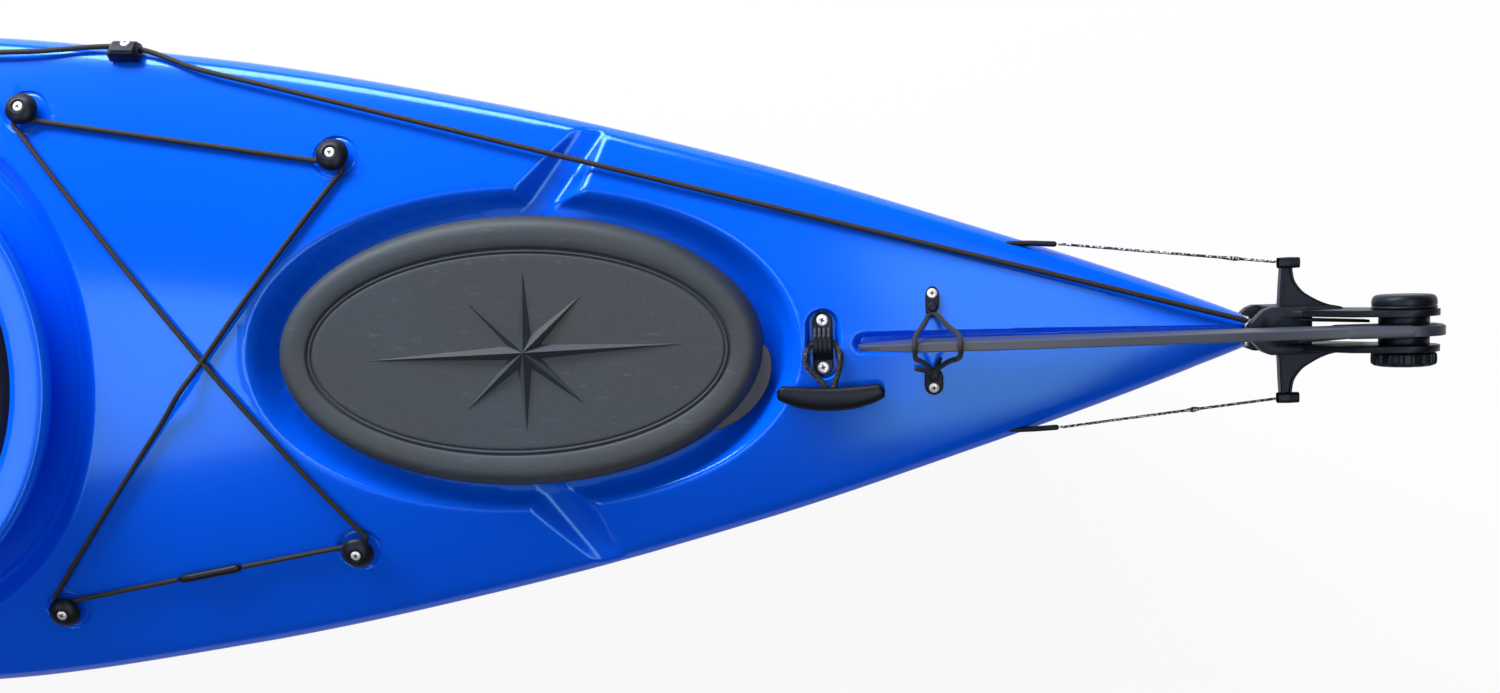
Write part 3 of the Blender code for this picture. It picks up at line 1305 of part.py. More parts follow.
def toggle_grip(name, x, material):
    """The handle: a bar that swells in the middle and curves up to the padeye at its ends."""
    frame = deck_frame(x + GRIP_AFT_OF_PADEYE, -GRIP_FROM_PADEYE)
    rings = []
    for step in range(11):
        u = step / 5 - 1
        size = (1 - abs(u) ** 4 * 0.45) * (0.72 if abs(u) == 1 else 1.0)
        shift = 0.006 * abs(u) ** 2.2
        ring = []
        for k in range(10):
            a = 2 * math.pi * k / 10
            ring.append((u * GRIP_LENGTH / 2, shift + GRIP_DEPTH / 2 * size * math.cos(a),
                         0.0006 + GRIP_HEIGHT / 2 * (1 + size * math.sin(a))))
        rings.append(ring)
    return make(name, loft(rings, frame=frame), material, 50)


# The loop that holds the stowed blade down.
LOOP_X = STERN - LOOP_FITTING_FROM_STERN


def loop_fitting(name, side, material):
    frame = deck_frame(LOOP_X, side * LOOP_FITTING_ACROSS)
    height = LOOP_FITTING_HEIGHT
    low = stadium(LOOP_FITTING_LENGTH, LOOP_FITTING_WIDTH)
    high = stadium(LOOP_FITTING_LENGTH - 0.003, LOOP_FITTING_WIDTH - 0.003)
    rings = [raised(low, SEAT_GAP), raised(low, height - 0.0015), raised(high, height)]
    return make(name, loft(rings, frame=frame), material)


def blade_loop(material):
    """From the port fitting over the blade to the starboard one and back."""
    top = PIVOT_Z + BLADE_TIP_WIDTH - BLADE_ROOT_RADIUS + LOOP_DIAMETER / 2 + LOOP_OVER_EDGE
    low = deck_height(LOOP_X, LOOP_FITTING_ACROSS)
    seat = LOOP_FITTING_ACROSS - LOOP_FITTING_LENGTH / 2 - LOOP_DIAMETER / 2 - SEAT_GAP
    side = BLADE_THICKNESS / 2 + LOOP_DIAMETER / 2 + 0.002
    half = [(0.004, -seat, low + 0.006), (0.012, -side - 0.006, (low + top) / 2), (LOOP_SPREAD, -side, top - 0.012),
            (LOOP_SPREAD + 0.001, 0.0, top), (LOOP_SPREAD, side, top - 0.012), (0.012, side + 0.006, (low + top) / 2),
            (0.004, seat - 0.001, low + 0.010)]
    chosen = [(LOOP_X - a, y, z) for a, y, z in half] + [(LOOP_X + a, y, z) for a, y, z in half[::-1]]
    return cord("blade_loop", through(chosen, 0.026), LOOP_DIAMETER, material)


# Steering lines.
def steering_tube(name, side, material):
    return cord(name, through(tube_route(side), 0.045), TUBE_DIAMETER, material)


def stern_line(name, side, material):
    route = through(tube_route(side), 0.045)
    ahead = (route[-1] - route[-2]).normalized()
    start = route[-1] + ahead * SEAT_GAP * 2
    middle = Vector((PIN_X + ARM_SWEEP, side * ARM_REACH, ARM_TOP - ARM_THICKNESS / 2))
    back = (start - middle)
    back.z = 0
    end = middle + back.normalized() * (ARM_END_RADIUS + STEERING_LINE_DIAMETER)
    return cord(name, through([start, start + ahead * 0.004, start.lerp(end, 0.5), end], 0.03),
                STEERING_LINE_DIAMETER, material, 2)


def pedal_line(name, side, material):
    """From the tube's front end along the hull's side to the pedal's carriage."""
    route = tube_route(side)
    first, second = Vector(route[0]), Vector(route[1])
    start = first + (first - second).normalized() * SEAT_GAP * 2
    frame = rail_frame(side)
    clip = Vector((FOOT_RAIL_LENGTH / 2 + 0.022 + 0.002, 0.016, FOOT_RAIL_DEPTH / 2 + 0.006))
    end = frame @ clip
    chosen = [start, start + (first - second).normalized() * 0.01]
    for x in (0.55, 0.30, 0.12):
        chosen.append(Vector((x, side * (hull_inside(x, 0.15) - 0.018), 0.152)))
    chosen += [frame @ (clip + Vector((0.17, 0.002, 0.008))), end]
    return cord(name, through(chosen, 0.08), STEERING_LINE_DIAMETER, material, 2)


# The lift line runs along the starboard deck edge, through a fairlead, and straight to the rudder housing.
FAIRLEAD_X = STERN - FAIRLEAD_FROM_STERN
CLEAT_X = STERN - CLEAT_FROM_STERN
FAIRLEAD_Y = half_breadth(FAIRLEAD_X) - FAIRLEAD_IN
CLEAT_Y = half_breadth(CLEAT_X) - 0.030
LINE_LIFT = LIFT_LINE_DIAMETER / 2 + 0.0035


def lift_points():
    """Cleat, fairlead and the line's aft end at the housing's front."""
    cleat = deck_point(CLEAT_X, CLEAT_Y, LINE_LIFT)
    lead = deck_point(FAIRLEAD_X, FAIRLEAD_Y, LINE_LIFT)
    end = Vector((PIN_X - LUG_FRONT * 0.85 - 0.0020, 0.0095, HOUSING_TOP - LIFT_LINE_DIAMETER / 2 - 0.0008))
    return cleat, lead, end


def lift_route():
    cleat, lead, end = lift_points()
    route = []
    for step in range(9):
        spot = cleat.lerp(lead, step / 8)
        route.append(deck_point(spot.x, spot.y, LINE_LIFT))
    for step in range(1, 15):
        spot = lead.lerp(end, step / 14)
        least = deck_height(spot.x, spot.y) + LIFT_LINE_DIAMETER / 2 + CORD_LIFT
        route.append(Vector((spot.x, spot.y, max(spot.z, least if step < 13 else spot.z))))
    return route


def line_block(name, x, y, size, material, along):
    """A block with a bore that the lift line passes through, screwed to the deck's edge."""
    length, width, height = size
    frame = deck_frame(x, y)
    rings = []
    for place, share in ((-0.5, 0.75), (-0.36, 1.0), (0.36, 1.0), (0.5, 0.75)):
        w = width / 2 * (0.8 + 0.2 * share)
        top = height * share
        rings.append([(place * length, -w, SEAT_GAP), (place * length, w, SEAT_GAP),
                      (place * length, w, top - 0.002), (place * length, w - 0.003, top),
                      (place * length, -w + 0.003, top), (place * length, -w, top - 0.002)])
    block = make(name, loft(rings, frame=frame), material)
    return boolean(block, make(name + "_bore", sweep(along, LIFT_LINE_DIAMETER / 2 + RUN_GAP, count=12)))


def lift_pull(tail_material, pull_material):
    """The line's tail forward of the cleat, and the pull that the paddler holds."""
    line = lift_route()
    cleat = line[0]
    through_block = (line[0] - line[1]).normalized()
    mouth = cleat + through_block * 0.022
    forward = Vector((through_block.x, through_block.y, 0)).normalized()
    grip = mouth + forward * (LIFT_PULL_TRAVEL + 0.020)
    lifted = deck_height(grip.x, grip.y) + 0.0095
    grip.z = max(grip.z, lifted)
    count = 5
    route = [cleat + through_block * SEAT_GAP, mouth]
    for step in range(1, count + 1):
        spot = mouth.lerp(grip - forward * SEAT_GAP, step / count)
        spot.z = max(spot.z, deck_height(spot.x, spot.y) + LIFT_LINE_DIAMETER / 2 + CORD_LIFT)
        route.append(spot)
    cord("lift_line_tail", route, LIFT_LINE_DIAMETER, tail_material)
    axis = Matrix.Translation(grip) @ forward.to_track_quat("Z", "Y").to_matrix().to_4x4()
    profile = [(0.0040, 0.0), (0.0052, 0.001), (0.0052, 0.010), (0.0082, 0.016), (0.0088, 0.022), (0.0080, 0.028),
               (0.0045, 0.0315)]
    make("lift_pull", turned(profile, axis, count=14), pull_material)


def build():
    clear_scene()
    blue = finish("hull_blue", (0.0, 0.09, 0.62), 0.12)
    rubber = finish("hatch_rubber", (0.07, 0.085, 0.095), 0.55)
    black = finish("black_nylon", (0.012, 0.013, 0.016), 0.42)
    elastic = finish("bungee_black", (0.015, 0.015, 0.018), 0.7)
    rope = finish("line_black", (0.02, 0.02, 0.022), 0.75)
    steel = finish("stainless", (0.62, 0.62, 0.6), 0.25, 1.0)
    alloy = finish("blade_grey", (0.075, 0.082, 0.09), 0.4)
    foam = finish("grey_foam", (0.12, 0.12, 0.125), 0.9)
    cloth = finish("backrest_cloth", (0.02, 0.02, 0.024), 0.85)
    pan = finish("seat_plastic", (0.02, 0.021, 0.024), 0.5)

    hull_shell(blue)
    deck_shell(blue)
    bulkhead_places = (("stern_bulkhead", STERN - STERN_BULKHEAD_FROM_STERN),
                       ("bow_bulkhead", BOW + BOW_BULKHEAD_FROM_BOW))
    for name, x in bulkhead_places:
        wall = bulkhead(name, x, foam)
        if name == "stern_bulkhead":
            holes = bmesh.new()
            for side in (1, -1):
                sweep(through(tube_route(side), 0.045)[:9], TUBE_DIAMETER / 2 + TUBE_HOLE_CLEARANCE, 10, holes)
            boolean(wall, make("bulkhead_holes", holes))
    for end, x, length, width in hatches():
        hatch_rim(f"{end}_hatch_rim", x, length, width, black)
        pull_tab(hatch_cover(f"{end}_hatch_cover", x, length, width, rubber), x, length, width)
    for name, x, y in dome_places():
        dome(name, x, y, black)
    stern_fore = (STERN - STERN_DOMES_FORE_FROM_STERN, STERN_DOMES_FORE_ACROSS)
    stern_aft = (STERN - STERN_DOMES_AFT_FROM_STERN, STERN_DOMES_AFT_ACROSS)
    deck_bungee("stern_bungee", stern_fore, stern_aft, elastic, rope)
    bow_fore = (BOW + BOW_DOMES_FORE_FROM_BOW, BOW_DOMES_FORE_ACROSS)
    bow_aft = (BOW + BOW_DOMES_AFT_FROM_BOW, BOW_DOMES_AFT_ACROSS)
    deck_bungee("bow_bungee", bow_fore, bow_aft, elastic, rope)

    seat(pan)
    seat_block(foam)
    backrest(cloth)
    for word, side in (("starboard", 1), ("port", -1)):
        thigh_brace(f"thigh_brace_{word}", side, pan)
        foot_rail(f"foot_rail_{word}", side, black)
        pedal(f"pedal_{word}", side, black)
        steering_tube(f"steering_tube_{word}", side, rope)
        stern_line(f"stern_line_{word}", side, rope)
        pedal_line(f"pedal_line_{word}", side, rope)
        loop_fitting(f"loop_fitting_{word}", side, black)

    yaw = joint_empty("rudder_yaw", (PIN_X, 0, BRACKET_TOP))
    pivot = joint_empty("blade_pivot", (PIVOT_X, 0, PIVOT_Z))
    stern_bracket(steel)
    rudder_pin(steel)
    for word, side in (("starboard", 1), ("port", -1)):
        hang(housing(f"rudder_housing_{word}", side, black), yaw)
        hang(hub_washer(f"hub_washer_{word}", side, black), yaw)
    hang(pivot_bolt(steel), yaw)
    hang(pivot_knob(black), yaw)
    hang(blade(alloy), pivot)
    hang(pivot_nut(black), pivot)
    blade_loop(elastic)

    for end, x in padeye_places():
        padeye(f"{end}_padeye", x, black)
        swing = joint_empty(f"{end}_toggle_pivot", toggle_pivot(x))
        hang(toggle_cord(f"{end}_toggle_cord", x, rope), swing)
        hang(toggle_grip(f"{end}_toggle_grip", x, black), swing)

    line = lift_route()
    cord("lift_line", line, LIFT_LINE_DIAMETER, rope)
    through_cleat = [line[0] * 2 - line[1], line[0], line[1]]
    line_block("lift_line_cleat", CLEAT_X, CLEAT_Y, (0.036, 0.016, 0.014), black, through_cleat)
    through_lead = line[7:10]
    line_block("lift_line_fairlead", FAIRLEAD_X, FAIRLEAD_Y, (FAIRLEAD_LENGTH, FAIRLEAD_WIDTH, FAIRLEAD_HEIGHT),
               black, through_lead)
    lift_pull(rope, black)


build()
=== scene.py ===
import math

import bmesh
import bpy
import numpy as np
from mathutils import Matrix, Vector


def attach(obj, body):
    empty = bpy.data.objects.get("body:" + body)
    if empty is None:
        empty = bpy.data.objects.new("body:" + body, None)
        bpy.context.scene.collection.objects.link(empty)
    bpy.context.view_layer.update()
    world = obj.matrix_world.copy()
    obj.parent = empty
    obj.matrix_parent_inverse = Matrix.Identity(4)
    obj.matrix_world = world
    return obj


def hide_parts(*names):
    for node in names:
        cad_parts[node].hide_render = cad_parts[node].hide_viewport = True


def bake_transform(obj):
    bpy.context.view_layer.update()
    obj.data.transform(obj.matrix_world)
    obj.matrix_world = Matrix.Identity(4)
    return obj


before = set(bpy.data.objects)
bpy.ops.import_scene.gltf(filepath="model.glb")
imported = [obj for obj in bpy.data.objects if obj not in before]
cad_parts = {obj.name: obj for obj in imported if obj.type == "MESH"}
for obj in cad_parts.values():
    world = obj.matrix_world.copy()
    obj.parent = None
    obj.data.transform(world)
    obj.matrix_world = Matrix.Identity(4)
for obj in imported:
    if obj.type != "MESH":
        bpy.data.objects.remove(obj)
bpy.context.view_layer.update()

# Deck: glossy blue thermoformed sheet with a bowl for each hatch, a trench round the cockpit, drains,
# a groove for the stowed blade and dishes for the fittings, all drawn down from one smooth surface.
# Lengths are in metres: X runs to the stern from the boat's middle, Y to starboard and Z up.
STERN = 1.95    # half the hull's length
BEAM = 0.6753
ROLL = 0.014    # radius of the gunwale's edge
WALL = 0.0045   # the sheet's thickness
CLEAR = 0.0003  # gap between parts that lie on each other
BOWL_DEPTH = 0.040
PADEYE_SINK = 0.011
SIDES = (("starboard", 1), ("port", -1))


def ease(t):
    return t * t * (3 - 2 * t)


def fair(points):
    """A smooth curve through (place, value) pairs that never overshoots them."""
    places, values = (np.array(c) for c in zip(*points))
    spans = np.diff(places)
    rises = np.diff(values) / spans
    before, after = rises[:-1], rises[1:]
    turning = before * after <= 0
    inner = np.where(turning, 0.0, 2 * before * after / np.where(turning, 1.0, before + after))
    slopes = np.concatenate([rises[:1], inner, rises[-1:]])

    def value(place):
        place = np.clip(place, places[0], places[-1])
        i = np.clip(np.searchsorted(places, place, side="right") - 1, 0, len(spans) - 1)
        t = (place - places[i]) / spans[i]
        rise = ease(t) * (values[i + 1] - values[i])
        return values[i] + rise + spans[i] * t * (1 - t) * ((1 - t) * slopes[i] - t * slopes[i + 1])

    return value


breadth_share = fair((
    (-1.0, 0.03), (-0.97, 0.085), (-0.9, 0.19), (-0.78, 0.38), (-0.6, 0.62), (-0.4, 0.83), (-0.15, 0.975),
    (0.1, 1.0), (0.369, 0.955), (0.513, 0.853), (0.656, 0.686), (0.781, 0.491), (0.878, 0.306),
    (0.9415, 0.177), (0.9854, 0.080), (1.0, 0.044)))
keel_height = fair((
    (-1.0, 0.215), (-0.95, 0.130), (-0.88, 0.075), (-0.75, 0.028), (-0.55, 0.001), (-0.3, -0.004),
    (0.4, -0.004), (0.6, 0.002), (0.78, 0.030), (0.9, 0.075), (0.97, 0.125), (1.0, 0.165)))
edge_height = fair((
    (-1.0, 0.340), (-0.8, 0.298), (-0.5, 0.262), (-0.1, 0.240), (0.36, 0.228), (0.513, 0.230), (0.667, 0.244),
    (0.77, 0.260), (0.872, 0.279), (1.0, 0.299)))
ridge_height = fair((
    (-1.0, 0.350), (-0.7, 0.338), (-0.3, 0.338), (-0.05, 0.330), (0.2, 0.305), (0.45, 0.286), (0.6, 0.292),
    (0.72, 0.300), (0.87, 0.306), (1.0, 0.307)))
crown_power = fair(((-1.0, 1.5), (-0.6, 1.8), (0.2, 2.2), (0.5, 1.9), (0.75, 1.45), (1.0, 1.35)))


def half_breadth(x):
    """From the middle of the boat to its side."""
    return BEAM / 2 * breadth_share(x / STERN)


def ridge(x):
    """The deck's height along its middle."""
    return ridge_height(x / STERN)


def plain_deck(x, y):
    """The deck's height before any recess, with the gunwale's quarter round."""
    half = half_breadth(x)
    edge = edge_height(x / STERN)
    away = np.minimum(np.abs(y) / half, 1.0)
    height = edge + (ridge(x) - edge) * (1 - away ** crown_power(x / STERN))
    roll = np.minimum(ROLL, 0.5 * half)
    past = np.clip((np.abs(y) - half + roll) / roll, 0.0, 1.0)
    return height - roll * (1 - np.sqrt(np.maximum(1 - past * past, 0.0)))


def soft_min(a, b, radius):
    """The lower of two heights, with a fillet where they cross."""
    h = np.clip(0.5 + 0.5 * (b - a) / radius, 0.0, 1.0)
    return b + (a - b) * h - radius * h * (1 - h)


def soft_max(a, b, radius):
    return -soft_min(-a, -b, radius)


def oval_reach(x, y, rear, front, half_width, rise_x, rise_y):
    """How far out of the oval a point lies, in steps that widen the oval by rise_x and rise_y."""
    reach = np.where(x > 0, rear, front)
    low = np.full(np.shape(x), -0.95 * min(rear / rise_x, front / rise_x, half_width / rise_y))
    high = np.full(np.shape(x), 4.0 / min(rise_x, rise_y))
    for _ in range(44):
        t = (low + high) / 2
        outside = (x / (reach + t * rise_x)) ** 2 + (y / (half_width + t * rise_y)) ** 2 > 1
        low = np.where(outside, t, low)
        high = np.where(outside, high, t)
    return (low + high) / 2


COCKPIT_X = STERN - 1.2955
COCKPIT = (0.172, 0.690, 0.196)              # reach to the stern, to the bow and to each side
STERN_HATCH = (STERN - 0.651, 0.457, 0.251)  # middle, length and width
BOW_HATCH = (-STERN + 0.900, 0.330, 0.215)
HATCHES = (STERN_HATCH, BOW_HATCH)
DOMES = (("stern", (STERN - 1.121, 0.241), (STERN - 0.819, 0.1855)),
         ("bow", (-STERN + 1.390, 0.175), (-STERN + 1.640, 0.215)))
DISHES = [(x, side * y) for _, *row in DOMES for x, y in row for side in (1, -1)]
PADEYES = (("stern", STERN - 0.368), ("bow", -STERN + 0.300))
GROOVE_START = STERN - 0.343
DRAIN_START = (0.010, 0.118)
TRENCH_DEPTH, TRENCH_EDGE, TRENCH_WALL = 0.0165, 0.0475, 0.0185
HOLD_INSET = 0.030


def bowl_floor(x):
    return ridge(x) - BOWL_DEPTH


def cockpit_reach(x, y):
    """How far outside the coaming's inner edge a point lies."""
    return oval_reach(x - COCKPIT_X, y, *COCKPIT, 1.0, 1.0)


def bowl(x, y, hatch):
    """The height of a hatch bowl's floor and flared wall."""
    middle, length, width = hatch
    floor = bowl_floor(middle)
    t = oval_reach(x - middle, y, length / 2 + 0.011, length / 2 + 0.011, width / 2 + 0.011, 0.028, 0.056)
    return soft_max(floor + t * 0.060, np.full(np.shape(t), floor), 0.006)


def drain(x, y):
    """The height of the channel that runs from the stern bowl out over the gunwale."""
    middle = STERN_HATCH[0]
    start = np.array((middle + DRAIN_START[0], DRAIN_START[1]))
    end = np.array((middle + 0.096, half_breadth(middle + 0.096) + 0.03))
    length = np.linalg.norm(end - start)
    ahead = (end - start) / length
    run = (x - start[0]) * ahead[0] + (np.abs(y) - start[1]) * ahead[1]
    off = np.abs((x - start[0]) * ahead[1] - (np.abs(y) - start[1]) * ahead[0])
    floor = bowl_floor(middle) - 0.010 * np.clip(run / length, 0, 1)
    bank = floor + (off - 0.010) * 0.95
    before = np.maximum(-run - 0.004, 0.0) * 8
    return soft_max(bank, floor + before, 0.004)


def groove(x, y):
    """The height of the groove under the stowed blade."""
    share = np.clip((x - GROOVE_START) / 0.363, 0.0, 1.0)
    half = 0.0098 * (1 - share) + 0.0062 * share
    depth = 0.013 * (1 - share) + 0.006 * share
    before = np.maximum(GROOVE_START + half + 0.003 - x, 0.0)
    off = np.hypot(y, before)
    return ridge(x) - depth + np.maximum(off - half + depth / 3.2, 0.0) * 3.2


def deck_surface(x, y):
    """The deck's height with everything that is sunk in it."""
    z = plain_deck(x, y)
    reach = cockpit_reach(x, y)
    wall = np.clip((reach - TRENCH_EDGE) / TRENCH_WALL, 0.0, 1.0)
    step = np.clip((reach - 0.0400) / 0.0045, 0.0, 1.0)
    crisp = np.clip((x - 0.56) / 0.10, 0.0, 1.0)
    rise = crisp * wall ** 1.3 * (1.3 - 0.3 * wall) + (1 - crisp) * ease(wall)
    z = z - TRENCH_DEPTH * (1 - rise) - 0.0026 * crisp * (1 - ease(step))
    for hatch in HATCHES:
        near = np.abs(x - hatch[0]) < 0.32
        z = np.where(near, soft_min(z, bowl(x, y, hatch), 0.007), z)
    z = soft_min(z, drain(x, y), 0.0035)
    z = soft_min(z, np.where(x > STERN - 0.37, groove(x, y), z + 1), 0.0022)
    for px, py in DISHES:
        off = np.hypot(x - px, (y - py) * 1.06)
        fall = np.clip((0.0222 - off) / 0.0030, 0.0, 1.0)
        z = z - 0.0016 * ease(fall) - 0.0011 * np.exp(-((off - 0.0202) / 0.0011) ** 2)
    for _, px in PADEYES:
        off = np.hypot(x - px, np.maximum(np.abs(y) - 0.0172, 0.0)) - 0.0154
        z = soft_min(z, ridge(px) - PADEYE_SINK + np.maximum(off + 0.0026, 0.0) * 4.2, 0.0022)
    return z


def baked(name, bm):
    """A bmesh turned into mesh data."""
    mesh = bpy.data.meshes.new(name)
    bm.to_mesh(mesh)
    bm.free()
    return mesh


def placed(name, data):
    """A new object in the scene."""
    made = bpy.data.objects.new(name, data)
    bpy.context.scene.collection.objects.link(made)
    return made


def piece(name, bm, material, body=None, nodes=(), smooth=True, sharp=None):
    """An object from a bmesh, tied to a body and standing for the nodes it replaces."""
    bmesh.ops.recalc_face_normals(bm, faces=bm.faces)
    mesh = baked(name, bm)
    made = placed(name, mesh)
    mesh.materials.append(material)
    if smooth:
        mesh.shade_smooth()
        if sharp:
            mesh.set_sharp_from_angle(angle=math.radians(sharp))
    if nodes:
        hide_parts(*nodes)
    if body:
        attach(made, body)
    return made


def mapped(bm, name, uv):
    """Lays a UV map that uv(place) gives for each corner."""
    layer = bm.loops.layers.uv.new(name)
    for face in bm.faces:
        for loop in face.loops:
            loop[layer].uv = uv(loop.vert.co)


def sheet_of(across, along, place, closed=False, uv=None):
    """A grid of cells whose points place(u, v) sets, both from 0 to 1; closed joins u = 1 to u = 0."""
    made = bmesh.new()
    bmesh.ops.create_grid(made, x_segments=across, y_segments=along, size=0.5)
    if uv:
        mapped(made, "run", uv)
    flat = np.array([v.co[:2] for v in made.verts]) + 0.5
    spots = place(flat[:, 0], flat[:, 1])
    for vert, spot in zip(made.verts, np.stack(spots, axis=1)):
        vert.co = spot
    if closed:
        bmesh.ops.remove_doubles(made, verts=made.verts, dist=1e-6)
    return made


def capped(bm):
    """Closes every open edge of a mesh with a face."""
    bmesh.ops.holes_fill(bm, edges=[e for e in bm.edges if e.is_boundary], sides=0)
    return bm


class Value:
    """A shader socket that Python's own operators build on."""

    tree = None

    def __init__(self, socket):
        self.socket = socket

    @classmethod
    def node(cls, kind, settings=(), output=0, **inputs):
        """An output of a new node; inputs go by name, or by _0, _1 and on where names repeat."""
        made = cls.tree.nodes.new(kind)
        for key, value in dict(settings).items():
            setattr(made, key, value)
        for key, value in inputs.items():
            cls.plug(made.inputs[int(key[1:]) if key[0] == "_" else key.replace("_", " ")], value)
        return cls(made.outputs[output])

    @classmethod
    def plug(cls, socket, value):
        """Links a value into a socket, or sets the number that the socket holds."""
        if isinstance(value, Value):
            cls.tree.links.new(value.socket, socket)
        else:
            socket.default_value = value

    def maths(self, operation, *others, flip=False):
        terms = (self, *others)[::-1] if flip else (self, *others)
        return Value.node("ShaderNodeMath", {"operation": operation}, **{f"_{i}": t for i, t in enumerate(terms)})

    def __add__(self, other):
        return self.maths("ADD", other)

    __radd__ = __add__

    def __mul__(self, other):
        return self.maths("MULTIPLY", other)

    __rmul__ = __mul__

    def __sub__(self, other):
        return self.maths("SUBTRACT", other)

    def __rsub__(self, other):
        return self.maths("SUBTRACT", other, flip=True)

    def step(self, low, high):
        """0 below low, 1 above high, smooth between."""
        return Value.node("ShaderNodeMapRange", {"interpolation_type": "SMOOTHSTEP"}, Value=self,
                          From_Min=low, From_Max=high)

    def parts(self):
        """The X, Y and Z of a vector."""
        apart = Value.node("ShaderNodeSeparateXYZ", Vector=self)
        return [Value(socket) for socket in apart.socket.node.outputs]


def mix(share, first, second):
    return Value.node("ShaderNodeMix", {"data_type": "RGBA"}, output=2, _0=share, _6=first, _7=second)


def place_of(scale=(1, 1, 1), turn=(0, 0, 0)):
    """The place on the piece, stretched and turned."""
    spot = Value.node("ShaderNodeTexCoord", output="Object")
    return Value.node("ShaderNodeMapping", Vector=spot, Rotation=turn, Scale=scale)


def noise(vector, scale, detail=3.0, roughness=0.5):
    return Value.node("ShaderNodeTexNoise", Vector=vector, Scale=scale, Detail=detail, Roughness=roughness)


def bump(height, distance, strength=1.0, normal=None):
    more = {"Normal": normal} if normal else {}
    return Value.node("ShaderNodeBump", Height=height, Distance=distance, Strength=strength, **more)


def finish(name, build):
    """A material whose Principled inputs build() gives as a dictionary."""
    material = bpy.data.materials.new(name)
    material.use_nodes = True
    Value.tree = material.node_tree
    shader = Value.tree.nodes["Principled BSDF"]
    for key, value in build().items():
        Value.plug(shader.inputs[key], value)
    return material


def rgb(red, green, blue):
    """A colour given in the 0 to 255 values of a screen."""
    return (*(((c / 255 + 0.055) / 1.055) ** 2.4 if c > 10 else c / 255 / 12.92 for c in (red, green, blue)), 1.0)


def blue_plastic():
    spot = place_of()
    cloud = noise(spot, 3.0, 2.0)
    orange_peel = noise(spot, 420.0, 2.0)
    scuffs = noise(place_of((4, 40, 10), (0, 0, 0.3)), 30.0, 4.0, 0.7).step(0.62, 0.75)
    return {
        "Base Color": mix(cloud, (0.0, 0.095, 0.90, 1), (0.0, 0.112, 0.98, 1)),
        "Roughness": 0.13 + 0.06 * cloud + 0.12 * scuffs,
        "Normal": bump(orange_peel, 0.00004, 0.35),
        "Specular IOR Level": 0.5,
        "Specular Tint": (0.34, 0.82, 1.0, 1.0),
    }


blue = finish("blue sheet", blue_plastic)


def fineness(x, y):
    """How many times the deck's grid is halved at a place."""
    level = np.zeros(len(x), int)
    for px, py in DISHES:
        level[np.hypot(x - px, y - py) < 0.024] = 3
    for _, px in PADEYES:
        level[(np.abs(x - px) < 0.020) & (np.abs(y) < 0.036)] = 3
    middle = STERN_HATCH[0]
    along = x - middle - DRAIN_START[0] - (np.abs(y) - DRAIN_START[1]) * 0.74
    level[(np.abs(along) < 0.046) & (np.abs(y) > 0.125)] = 2
    level[(x > STERN - 0.36) & (x < STERN - 0.20) & (np.abs(y) < 0.015)] = 2
    level[(x > STERN - 0.20) & (np.abs(y) < 0.013)] = 1
    reach = cockpit_reach(x, y)
    level[(np.abs(reach - 0.053) < 0.018) & (level == 0)] = 1
    level[(np.abs(reach - 0.053) < 0.018) & (x > 0.62)] = 2
    for hatch in HATCHES:
        near = np.abs(x - hatch[0]) < 0.30
        drop = plain_deck(x, y) - bowl(x, y, hatch)
        level[near & (np.abs(drop) < 0.010) & (level < 2)] = 1
    return level


def snap_to_oval(bm, middle, rear, front, half_width):
    """Draws the stepped edge of an opening onto a true oval."""
    for vert in bm.verts:
        x, y = vert.co.x - middle, vert.co.y
        size = math.hypot(x / (rear if x > 0 else front), y / half_width)
        if vert.is_boundary and size <= 1.25:
            vert.co.x, vert.co.y = middle + x / size, y / size


def deck_skin():
    """A grid over the whole plan, finer round each recess, with its openings cut and its heights set."""
    shares = fair(((0.0, -1.0), (0.40, 0.22), (0.50, 0.36), (0.985, 0.985), (1.0, 1.0)))

    def place(u, v):
        x = STERN * np.clip(shares(v), -1.0, 1.0)
        half = half_breadth(x)
        roll = np.minimum(ROLL, 0.5 * half)
        side = np.sign(u - 0.5)
        out = np.abs(2 * u - 1)
        y = np.where(out < 0.86, out / 0.86 * (half - roll),
                     half - roll + roll * np.sin(np.clip((out - 0.86) / 0.14, 0, 1) * math.pi / 2))
        return x, side * y, 0 * x

    def face_middles():
        return np.array([face.calc_center_median()[:2] for face in bm.faces]).T

    bm = sheet_of(70, 300, place)
    for level in range(3):
        finer = fineness(*face_middles()) > level
        edges = {e for face, chosen in zip(bm.faces, finer) if chosen for e in face.edges}
        bmesh.ops.subdivide_edges(bm, edges=list(edges), cuts=1, use_grid_fill=True)
    x, y = face_middles()
    openings = cockpit_reach(x, y) < 0.004
    holds = [(middle, length / 2 - HOLD_INSET, length / 2 - HOLD_INSET, width / 2 - HOLD_INSET)
             for middle, length, width in HATCHES]
    for middle, *halves in holds:
        openings = openings | (oval_reach(x - middle, y, *halves, 1, 1) < 0.0)
    bmesh.ops.delete(bm, geom=[f for f, gone in zip(list(bm.faces), openings) if gone], context="FACES")
    snap_to_oval(bm, COCKPIT_X, *(size + 0.0022 for size in COCKPIT))
    for hold in holds:
        snap_to_oval(bm, *hold)
    for vert, height in zip(bm.verts, deck_surface(*np.array([v.co[:2] for v in bm.verts]).T)):
        vert.co.z = height
    return bm


def thicken(made):
    """Gives a sheet its wall, on its inside."""
    thick = made.modifiers.new("thickness", "SOLIDIFY")
    thick.thickness = WALL
    thick.offset = -1.0


thicken(piece("deck_skin", deck_skin(), blue, "hull", ["deck_shell"]))

# Coaming: the same blue sheet turned up round the cockpit, out into a flange and down into a lip. It rises
# towards the bow, and its foot goes through the trench's floor.
def coaming_height(x):
    """The top of the flange, higher towards the bow."""
    share = (COCKPIT_X + COCKPIT[0] - x) / (COCKPIT[0] + COCKPIT[1])
    return 0.320 + share * 0.062


